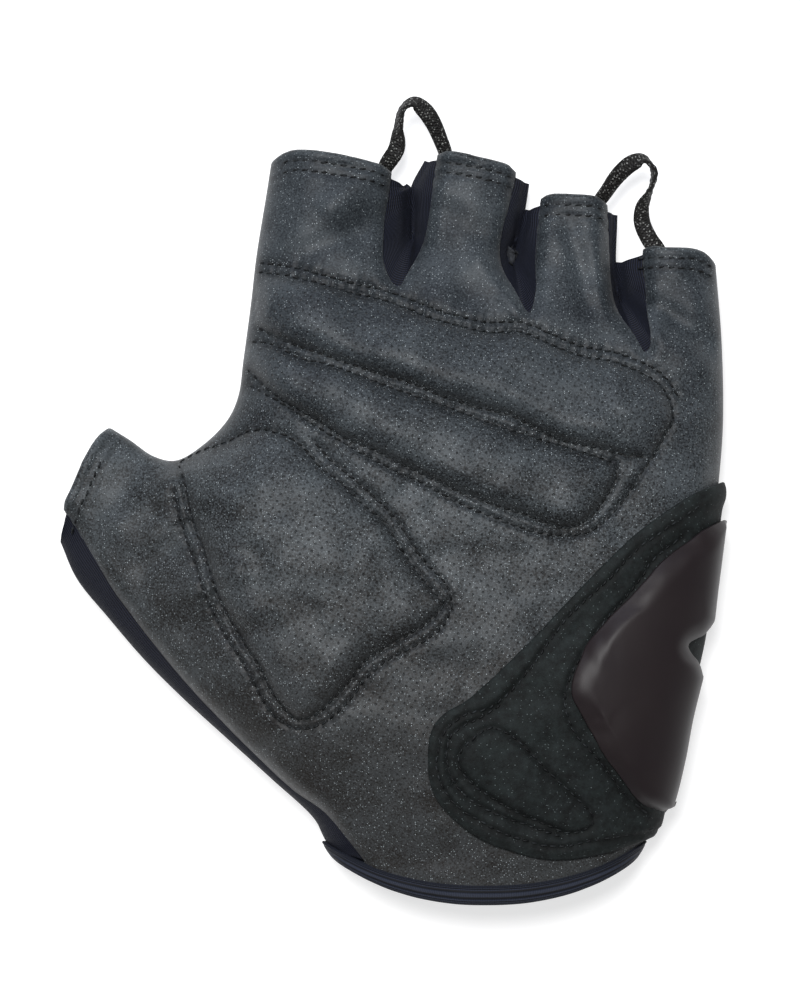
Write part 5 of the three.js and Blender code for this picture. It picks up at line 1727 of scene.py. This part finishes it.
@dataclass
class HeelPatch:
    """The charcoal patch over the heel of the hand, with its sewn lines and inner lozenge."""

    pattern: Pattern
    skin: Skin
    step: float = 0.75
    fine_step: float = 0.48
    inner_step: float = 1.9
    lift: float = LAYER_GAP
    border: float = 0.55
    rows: Sequence[Table] = (PATCH_OUTER_ROW, PATCH_INNER_ROW, PATCH_LOZENGE, GEL_ROW)

    def legs(self) -> list[Leg]:
        """Outline: the little-finger side upwards, then the patch's edge back down."""
        outline = self.pattern.side_outline(HEEL_PATCH, PATCH_SPAN)
        side = spaced(self.pattern.little_side, PATCH_SPAN[1], PATCH_SPAN[0], self.step)
        return [Leg(side, 2), Leg(spaced(outline, 0.0, 1.0, self.step))]

    def relief(self, xy: Array, edge: Array) -> tuple[Array, Array]:
        """Relief above the plain sheet, and how deep in a sewn line each place lies.

        A padded border behind the edge, grooves at the rows, and a swell in the lozenge.
        """
        total = self.border * (1 - np.exp(-edge / 0.8)) * np.exp(-((np.maximum(edge - 2.2, 0) / 1.6) ** 2))
        nearest = np.full(len(xy), np.inf)
        for points in self.rows:
            line = Edge(Path(points).line)
            d, arc = line.measure_all(xy)
            wave = gathers(arc, slow=4.7, share=0.6)
            total = total - 0.5 * np.exp(-((d / 0.65) ** 2)) + 0.09 * wave * np.exp(-d / 1.6)
            nearest = np.minimum(nearest, d)
        lozenge = Path(PATCH_LOZENGE).line
        depth = Edge(lozenge).distance(xy)
        total += np.where(is_inside(lozenge, xy), 0.9 * (1 - np.exp(-depth / 1.7)), 0.0)
        return total, np.exp(-((nearest / 1.1) ** 2))

    def surface(self, net: Net, is_sewn: bool) -> tuple[Array, Array, Array]:
        """Places of the palm's skin under a net, their normals and their groove depth."""
        base = np.column_stack([net.xy, self.skin.top(net.xy, net.own, net.line, **PLAIN)])
        normals = vertex_normals(base, net.faces)
        edge = Edge(self.pattern.side_outline(HEEL_PATCH, PATCH_SPAN).line).distance(net.xy)
        relief, groove = self.relief(net.xy, edge)
        if not is_sewn:
            relief, groove = 0 * relief, 0 * groove
        return base + normals * relief[:, None], normals, groove

    def build(self) -> Shape:
        """Outer and inner faces, lifted off the suede by the gap that sewn layers keep."""
        legs = self.legs()
        lines = [Edge(Path(points).line) for points in self.rows]
        outer = weave_net(legs, self.step, self.fine_step, lines)
        inner = weave_net(legs, self.inner_step)
        places, normals, groove = self.surface(outer, True)
        under, under_normals, _ = self.surface(inner, False)
        shape = sheet_shape(
            outer, places + normals * (self.lift + PATCH), inner, under + under_normals * self.lift
        )
        # The sewn lines, where the patch finish lays painted shade.
        shape.attributes = {"groove": pad_attribute(groove, shape)}
        return shape

    def dress(self, patch: Material) -> Object:
        piece = make_piece("heel_patch_panel", self.build(), [patch])
        declare(piece, "patch", "heel_patch")
        return piece


@dataclass
class GelPad:
    """The moulded gel pad on the heel patch."""

    pattern: Pattern
    skin: Skin
    step: float = 0.7
    inner_step: float = 1.9
    foot: float = 2 * LAYER_GAP + PATCH
    edge_height: float = 0.9
    rise: float = 2.8
    bevel: float = 3.4
    tip: tuple[float, float] = (0.742, -1.112)
    tip_end: float = 0.885
    tip_radius: float = 1.3

    def legs(self) -> list[Leg]:
        """Outline: up the side to the notch, round it, on up, and back by the palm."""
        side = self.pattern.little_side
        low, high, deep = GEL_NOTCH
        middle = side.at((low + high) / 2)
        inward = -unit(left_of(side.along((low + high) / 2)))
        tip = middle + inward * deep
        start, end = side.at(high), side.at(low)
        above = start * 0.62 + tip * 0.38 + [0.25, 0.35]
        below = end * 0.62 + tip * 0.38 + [0.2, -0.5]
        notch = Path([start, above, tip, below, end])
        outline = self.pattern.side_outline((*GEL_PAD, self.tip), (GEL_SPAN[0], self.tip_end))
        return [
            Leg(spaced(side, self.tip_end, high, self.step)),
            Leg(spaced(notch, 0.0, 1.0, self.step)),
            Leg(spaced(side, low, GEL_SPAN[0], self.step)),
            Leg(spaced(outline, 0.0, 1.0, self.step)),
        ]

    def rings(self, legs: Sequence[Leg]) -> Array:
        """Rows of places close to the silhouette, where the cloth under the pad is steep."""
        others = Edge(legs[3].points), Edge(legs[1].points)
        rows = []
        for leg in (legs[0], legs[2]):
            across = left_of(unit(np.gradient(leg.points, axis=0)))
            rows += [leg.points[1:-1] + across[1:-1] * depth for depth in (0.15, 0.4, 0.8, 1.3)]
        places = np.vstack(rows)
        clear = np.min([other.distance(places) for other in others], axis=0)
        return places[clear > 0.6]

    def height(self, xy: Array, loop: Edge) -> Array:
        """Height over the patch: a rounded bevel from the edge up to a nearly flat face."""
        d = loop.distance(xy)
        t = np.clip(d / self.bevel, 0, 1)
        return self.edge_height + (self.rise - self.edge_height) * np.sin(t * math.pi / 2)

    def taper(self, xy: Array) -> Array:
        """Share of the lift kept: less at the lower tip, where the pad dies into the patch."""
        reach = xy @ unit(self.pattern.little_side.along(self.tip_end))
        return 1 - 0.75 * np.exp(-(((reach.max() - reach) / self.tip_radius) ** 2))

    def build(self) -> Shape:
        """Outer and inner faces, both offset from the plain skin along its normals.

        The outer face leaves out most of the cloth's unevenness, because it is moulded.
        """
        legs = self.legs()
        loop = Edge(np.vstack([*[leg.points for leg in legs], legs[0].points[:1]]))
        faces = []
        rings = self.rings(legs)
        nets = [weave_net(legs, step, rings=rings) for step in (self.step, self.inner_step)]
        for net, is_outer in zip(nets, (True, False)):
            base = np.column_stack([net.xy, self.skin.top(net.xy, net.own, net.line, **PLAIN)])
            lift = self.foot + (self.height(net.xy, loop) if is_outer else 0.0)
            lift = np.broadcast_to(lift, len(base)) * self.taper(net.xy)
            places = base + vertex_normals(base, net.faces) * lift[:, None]
            if is_outer:
                places[:, 2] -= 0.8 * self.skin.wander(net.xy) * ease(loop.distance(net.xy) / self.bevel)
            faces.append(places)
        return sheet_shape(nets[0], faces[0], nets[1], faces[1], bulge=0.6)

    def dress(self, gel: Material) -> Object:
        piece = make_piece("gel_pad_moulding", self.build(), [gel])
        declare(piece, "gel", "gel_pad")
        return piece


@dataclass
class FoamPad:
    """A foam insert under the suede, which gives a pad its height."""

    skin: Skin
    name: str
    node: str
    cushion: Cushion
    step: float = 1.3
    inset: float = 1.2
    skirt: float = 0.8

    def build(self) -> Shape:
        """Crowned upper face under the suede, and a nearly flat lower face."""
        loop = np.vstack([Path(self.cushion.crown).line[:-1], Path(self.cushion.foot).line[:-1]])
        if np.cross(loop, np.roll(loop, -1, axis=0)).sum() < 0:
            loop = loop[::-1]
        outline = even_loop(shrunk_loop(loop, self.inset), 1.2)
        net = weave_net([Leg(outline), Leg(outline[:1])], self.step)
        base = self.skin.lifted(net.xy, Face.PALM, is_sewn=False)
        top = base - vertex_normals(base, net.faces) * (SUEDE + LAYER_GAP)
        low = top.copy()
        low[:, 2] -= self.skirt + self.cushion.height(net.xy)
        return sheet_shape(net, top, net, low, bulge=0.5)

    def dress(self, foam: Material) -> Object:
        piece = make_piece(self.name, self.build(), [foam])
        declare(piece, "foam", self.node)
        return piece


def shrunk_loop(loop: Array, amount: float) -> Array:
    """Anticlockwise loop moved inwards, less the points that come too near its far side."""
    along = unit(np.roll(loop, -1, axis=0) - np.roll(loop, 1, axis=0))
    moved = loop + left_of(along) * amount
    closed = Edge(np.vstack([loop, loop[0]]))
    return moved[is_inside(loop, moved) & (closed.distance(moved) > 0.93 * amount)]


def even_loop(loop: Array, step: float) -> Array:
    """Loop with its points evenly spaced, closed on its first point."""
    closed = np.vstack([loop, loop[0]])
    arc = run_lengths(closed)
    return read_along(closed, arc, np.linspace(0, arc[-1], int(arc[-1] / step) + 1))


def tube_corners(along: Array, around: Array) -> Array:
    """Weave coordinates of the corners of a tube's quads, from its lengths each way."""
    i, j = np.divmod(np.arange((len(along) - 1) * (len(around) - 1)), len(around) - 1)
    corners = [(i, j), (i, j + 1), (i + 1, j + 1), (i + 1, j)]
    return np.stack([np.column_stack([along[a], around[b]]) for a, b in corners], axis=1)


@dataclass
class CuffBinding:
    """Elastic binding folded round the wrist opening."""

    pattern: Pattern
    skin: Skin
    around: int = 220
    section: int = 24
    outer_share: float = 0.42

    def build(self) -> Shape:
        """Rounded flat section carried round the opening.

        The section is a superellipse, |u|^4 + |v|^4 = 1, as tall as the band and as thick as
        the fold, with a shallow trough near its upper edge where it is sewn down.
        """
        half = self.around // 2
        share = (1 - np.cos(np.pi * np.arange(half + 1) / half)) / 2
        turn = 2 * np.pi * np.arange(self.section) / self.section
        power = 0.5
        up = 0.5 + 0.5 * np.sign(np.sin(turn)) * np.abs(np.sin(turn)) ** power
        out = 0.5 * np.sign(np.cos(turn)) * np.abs(np.cos(turn)) ** power - 0.08
        trough = 0.12 * np.exp(-(((up - 0.82) / 0.07) ** 2)) * np.sign(out)
        columns = []
        proud = CUFF_THICKNESS * self.outer_share
        for u, o in zip(up, out - trough):
            above = float(u) * CUFF_BAND
            plan = self.pattern.cuff(share, above)
            low = np.maximum(self.skin.height(plan, Face.BACK), proud)
            ends = [0, -1]
            low[ends] = np.maximum(self.skin.side(plan[ends]), proud)
            high = np.maximum(self.skin.top(plan, **PLAIN), proud)
            ring = np.vstack([
                np.column_stack([plan, low]),
                np.column_stack([plan, high])[1:-1][::-1],
            ])
            along = np.roll(ring, -1, axis=0) - np.roll(ring, 1, axis=0)
            outward = unit(np.column_stack([along[:, 2], 0 * along[:, 0], -along[:, 0]]))
            columns.append(ring + outward * (o * CUFF_THICKNESS))
        grid = np.stack(columns, axis=1)
        n, m = grid.shape[:2]
        quads = grid_quads(n, m, True, True)
        arc_u = run_lengths(grid[np.arange(n + 1) % n, 0])
        arc_v = np.linspace(0, 2 * (CUFF_BAND + CUFF_THICKNESS), m + 1)
        uv = tube_corners(arc_u, arc_v)
        return Shape(grid.reshape(-1, 3), [quads[:, ::-1]], uv=uv[:, ::-1].reshape(-1, 2))

    def dress(self, elastic: Material) -> Object:
        piece = make_piece("cuff_elastic_binding", self.build(), [elastic])
        declare(piece, "elastic", "cuff_binding")
        return piece


@dataclass
class PullLoop:
    """Twisted loop of woven tape for pulling the glove off."""

    pattern: Pattern
    skin: Skin
    name: str
    node: str
    rows: Table
    width: float = 3.6
    thickness: float = 1.0
    tuck: float = 4.0
    gap: float = 0.55
    steps: int = 260
    around: int = 28
    cord_pitch: float = 1.25

    def build(self) -> Shape:
        """Flat section turned about the tape's run, with cross cords raised on both faces."""
        half_palm = self.pattern.half_palm
        table = np.asarray(self.rows, float)
        plan = table[:, :2] * half_palm
        ends = plan[[0, -1]]
        normals = self.skin.normal(ends, Face.PALM, 0.4, **PLAIN)
        on_skin = self.skin.top(ends, **PLAIN)
        under = SUEDE + self.gap + self.thickness / 2
        shift = -under * normals[:, :2]
        level = on_skin - under * normals[:, 2]
        s = np.linspace(0, 1, len(plan))
        at_start, at_end = np.clip(1 - 3 * s, 0, 1)[:, None], np.clip(3 * s - 2, 0, 1)[:, None]
        plan = plan + shift[0] * at_start + shift[1] * at_end
        z = level[0] + (level[1] - level[0]) * s + table[:, 2] * self.width
        places = np.column_stack([plan, z])
        down = np.array([[0.0, self.tuck, 0.0]])
        path = Path(np.vstack([places[:1] - down, places, places[-1:] - down]))
        turns = np.concatenate([table[:1, 3], table[:, 3], table[-1:, 3]])
        t = np.linspace(0, 1, self.steps)
        knots = np.concatenate([path.lengths[:: Path.PER_SPAN], [path.length]])[: len(turns)] / path.length
        turn = np.radians(np.interp(t, knots, turns))
        centre, along = path.at(t), path.along(t)
        base = unit(normals[0] + (normals[1] - normals[0]) * ease(t)[:, None])
        across = unit(np.cross(along, base))
        up = unit(np.cross(across, along))
        across, up = (
            across * np.cos(turn)[:, None] + up * np.sin(turn)[:, None],
            up * np.cos(turn)[:, None] - across * np.sin(turn)[:, None],
        )
        across = unit(across)
        up = unit(np.cross(across, along))
        angle = 2 * np.pi * np.arange(self.around) / self.around
        flat_u = 0.5 * np.sign(np.cos(angle)) * np.abs(np.cos(angle)) ** 0.45
        flat_v = 0.5 * np.sign(np.sin(angle)) * np.abs(np.sin(angle)) ** 0.6
        arc = t * path.length
        cord = 0.5 + 0.5 * np.cos(2 * np.pi * arc / self.cord_pitch)
        selvedge = np.abs(flat_u) > 0.36
        raised = 1.0 + np.where(selvedge[None], 0.0, 0.22 * cord[:, None])
        narrow = 1.0 - 0.012 * (1 - cord)
        grid = (
            centre[:, None]
            + across[:, None] * (flat_u[None, :, None] * self.width * narrow[:, None, None])
            + up[:, None] * (flat_v[None] * raised * self.thickness)[..., None]
        )
        n, m = self.steps, self.around
        quads = grid_quads(n, m, False, True)
        caps = [np.arange(m)[None], ((n - 1) * m + np.arange(m)[::-1])[None]]
        arc_v = np.linspace(0, 2 * (self.width + self.thickness), m + 1)
        flat = [np.column_stack([np.zeros(m), arc_v[:m]])] * 2
        uv = np.concatenate([tube_corners(arc, arc_v).reshape(-1, 2), *flat])
        return Shape(grid.reshape(-1, 3), [quads, *caps], uv=uv)

    def dress(self, tape: Material) -> Object:
        piece = make_piece(self.name, self.build(), [tape])
        declare(piece, "tape", self.node)
        return piece


@dataclass
class StitchRows:
    """Rows of sewing thread that lie in their grooves on the palm side."""

    skin: Skin
    name: str
    rows: Sequence[Array]
    surface: Callable[[Array], Array]
    pitch: float = 1.9
    length: float = 1.4
    radius: float = 0.22
    sides: int = 6
    seed: int = 5

    def build(self) -> Shape:
        """One small capsule of thread for each stitch.

        The template is a tube whose radius is sqrt(1 - |2t|^5) along its length t, bowed up
        in the middle and down at the ends, where the needle went in.
        """
        t = np.array([-0.5, -0.4, -0.15, 0.15, 0.4, 0.5])
        thin = np.array([0.35, 0.8, 1.0, 1.0, 0.8, 0.35])
        bow = 0.16 - 0.42 * (2 * t) ** 2
        angle = 2 * np.pi * np.arange(self.sides) / self.sides
        centres, alongs = [], []
        for row in self.rows:
            path = Path(row)
            count = max(2, int(path.length / self.pitch))
            share = (np.arange(count) + 0.5) / count
            centres.append(path.at(share))
            alongs.append(path.along(share))
        centre, along = np.vstack(centres), np.vstack(alongs)
        rng = np.random.default_rng(self.seed)
        wobble = rng.uniform(-1, 1, (len(centre), 3))
        centre = centre + left_of(along) * wobble[:, :1] * 0.08
        skew = 0.16 + 0.1 * wobble[:, 1]
        along = unit(along + left_of(along) * skew[:, None])
        half = 0.5 * self.length
        here = self.surface(centre)
        ahead = self.surface(centre + along * half)
        behind = self.surface(centre - along * half)
        beside = self.surface(centre + left_of(along) * 0.3) - self.surface(centre - left_of(along) * 0.3)
        run = unit(np.column_stack([along * 2 * half, ahead - behind]))
        side = unit(np.column_stack([left_of(along) * 0.6, beside]))
        up = unit(np.cross(run, side))
        side = np.cross(up, run)
        level = np.maximum(here, (ahead + behind) / 2)
        middle = np.column_stack([centre, level + 0.12 + 0.05 * wobble[:, 2]])
        size = self.length * (1 + 0.1 * wobble[:, 2])
        ring = (
            middle[:, None, None]
            + run[:, None, None] * (t[None, :, None, None] * size[:, None, None, None])
            + up[:, None, None] * (bow[None, :, None, None] * self.radius * 1.6)
            + side[:, None, None]
            * (np.cos(angle)[None, None, :, None] * thin[None, :, None, None] * self.radius)
            + up[:, None, None]
            * (np.sin(angle)[None, None, :, None] * thin[None, :, None, None] * self.radius)
        )
        n, rings = len(centre), len(t)
        each = rings * self.sides
        quads = grid_quads(rings, self.sides, False, True)
        caps = np.stack([np.arange(self.sides)[::-1], (rings - 1) * self.sides + np.arange(self.sides)])
        offset = (np.arange(n) * each)[:, None, None]
        all_quads = (quads[None] + offset).reshape(-1, 4)[:, ::-1]
        all_caps = (caps[None] + offset).reshape(-1, self.sides)[:, ::-1]
        return Shape(ring.reshape(-1, 3), [all_quads, all_caps])

    def dress(self, thread: Material, slot: str) -> Object:
        piece = make_piece(self.name, self.build(), [thread])
        declare(piece, slot)
        return piece


@dataclass
class Studio:
    """Camera, lights and paper floor."""

    aim: tuple[float, float] = (-19.2, 13.75)
    frame_height: float = 207.7
    object_level: float = 13.0
    lens: float = 170.0
    sensor: float = 36.0

    def camera(self) -> None:
        """Camera straight above the palm, as far off as its lens needs for the frame."""
        data = bpy.data.cameras.new("camera")
        data.lens, data.sensor_width = self.lens, self.sensor
        data.clip_start, data.clip_end = 0.01, 50.0
        camera = bpy.data.objects.new("camera", data)
        distance = self.frame_height * self.lens / self.sensor
        camera.location = Vector((*self.aim, self.object_level + distance)) * MM
        bpy.context.scene.collection.objects.link(camera)
        bpy.context.scene.camera = camera

    def light(
        self, name: str, place: tuple[float, float, float], size: float, watts: float, colour: str
    ) -> None:
        """Square area light that looks at the palm; place and size in metres."""
        data = bpy.data.lights.new(name, "AREA")
        data.shape, data.size, data.energy = "DISK", size, watts
        data.color = linear(colour)[:3]
        lamp = bpy.data.objects.new(name, data)
        lamp.location = Vector(place)
        aim = Vector((self.aim[0] * MM, self.aim[1] * MM, 0.0))
        lamp.rotation_mode = "QUATERNION"
        lamp.rotation_quaternion = (aim - lamp.location).to_track_quat("-Z", "Y")
        bpy.context.scene.collection.objects.link(lamp)

    def build(self) -> None:
        """Sets up the world, lights, floor and camera."""
        scene = bpy.context.scene
        scene.view_settings.view_transform = "Standard"
        world = bpy.data.worlds.new("studio")
        world.use_nodes = True
        world.node_tree.nodes["Background"].inputs["Color"].default_value = linear("#f4f6fa")
        world.node_tree.nodes["Background"].inputs["Strength"].default_value = 0.28
        scene.world = world
        self.camera()
        self.light("key", (-0.14, 0.32, 1.28), 0.4, 20.0, "#ffffff")
        self.light("top_fill", (-0.35, 1.1, 0.75), 0.6, 5.0, "#dfe8ff")
        size = 3.0
        signs = ((-1, -1), (1, -1), (1, 1), (-1, 1))
        corners = np.array([[x * size, y * size, -0.02] for x, y in signs])
        corners[:, :2] *= 1000
        floor = make_piece("paper_floor", Shape(corners, [np.array([[0, 1, 2, 3]])]), [PaperFloor().build()])


def hem_rows(pattern: Pattern) -> list[Array]:
    """Plan lines of the double rows below each hem."""
    rows = []
    for k, hem in enumerate(pattern.hems):
        low = 0.08 if k == 0 else 0.16
        high = 0.97 if k == 3 else 0.86
        s = np.linspace(low, high, 24)
        for drop in HEM_ROWS:
            rows.append(hem.at(s) - np.array([0.0, drop]))
    s = np.linspace(0.1, 0.74, 16)
    rows.append(pattern.thumb_hem(s[::-1]) - pattern.thumb_axis * 2.6)
    return rows


def main() -> None:
    """Builds the glove piece by piece, in the order in which it is sewn."""
    logging.basicConfig(level=logging.INFO, format="%(message)s")
    Studio().build()
    pattern = Pattern()
    skin = Skin(pattern)
    suede, patch, gel = MicrofibreSuede().build(), PatchSuede().build(), GelSkin().build()
    knit, mesh, lining = RibKnit().build(), AirMesh().build(), Lining().build()
    thread, tape, foam = Thread().build(), WovenTape().build(), Foam().build()
    elastic = RibKnit("elastic_binding_knit", "#08090e", "#262b38", 0.62, 0.5).build()

    palm = PalmPanel(pattern, skin)
    palm.dress(suede, lining)
    BackPanel(pattern, skin).dress(mesh, lining)
    for crease in pattern.creases:
        curves = (crease.seam(Face.PALM, 1.3), crease.path, crease.seam(Face.BACK, 1.3))
        tips = (crease.notch, crease.bottom, crease.tip(Face.BACK))
        knees = tuple(curve.nearest_share(tip) for curve, tip in zip(curves, tips))
        name = crease.fork.name
        Gusset(skin, f"{name}_knit", name, curves, knees, swell=0.9).dress(knit, lining)
    end = 1 - CUFF_BAND / 2 / pattern.thumb_side.length
    side = Path(pattern.thumb_side.at(np.linspace(0, end, 41)))
    strips = (pattern.strip_seam(Face.PALM, 1.3), side, pattern.strip_seam(Face.BACK, 1.3))
    thumb = Gusset(skin, "thumb_side_knit", "thumb_side_gusset", strips, (0.5, 0.5, 0.5), True, rows=260)
    thumb.dress(knit, lining)
    for cushion, node in zip(skin.cushions, ("knuckle_pad", "palm_pad", "thenar_pad")):
        FoamPad(skin, f"{node}_foam", node, cushion).dress(foam)
    heel = HeelPatch(pattern, skin)
    heel.dress(patch)
    GelPad(pattern, skin).dress(gel)
    CuffBinding(pattern, skin).dress(elastic)
    PullLoop(pattern, skin, "pull_loop_middle_tape", "pull_loop_middle", MIDDLE_LOOP).dress(tape)
    PullLoop(pattern, skin, "pull_loop_little_tape", "pull_loop_little", LITTLE_LOOP).dress(tape)

    palm_rows = [np.array(g.points) for g in skin.grooves]
    StitchRows(skin, "palm_stitches", palm_rows, skin.top).dress(thread, "suede")
    hems = hem_rows(pattern)

    def hem_surface(xy: Array) -> Array:
        """Height of the suede near the hems."""
        return skin.top(xy) + palm.relief(palm.hem_distance(xy))

    StitchRows(skin, "hem_stitches", hems, hem_surface).dress(thread, "suede")

    def patch_surface(xy: Array) -> Array:
        """Height of the patch's face, taken straight up."""
        edge = Edge(pattern.side_outline(HEEL_PATCH, PATCH_SPAN).line).distance(xy)
        base = skin.top(xy, **PLAIN)
        slope = skin.normal(xy, Face.PALM, **PLAIN)[:, 2]
        return base + (heel.lift + PATCH + heel.relief(xy, edge)[0]) / np.maximum(slope, LEAST_COSINE)

    patch_rows = [np.array(points) for points in heel.rows]
    StitchRows(skin, "heel_patch_stitches", patch_rows, patch_surface, seed=6).dress(thread, "patch")


if __name__ == "__main__":
    main()
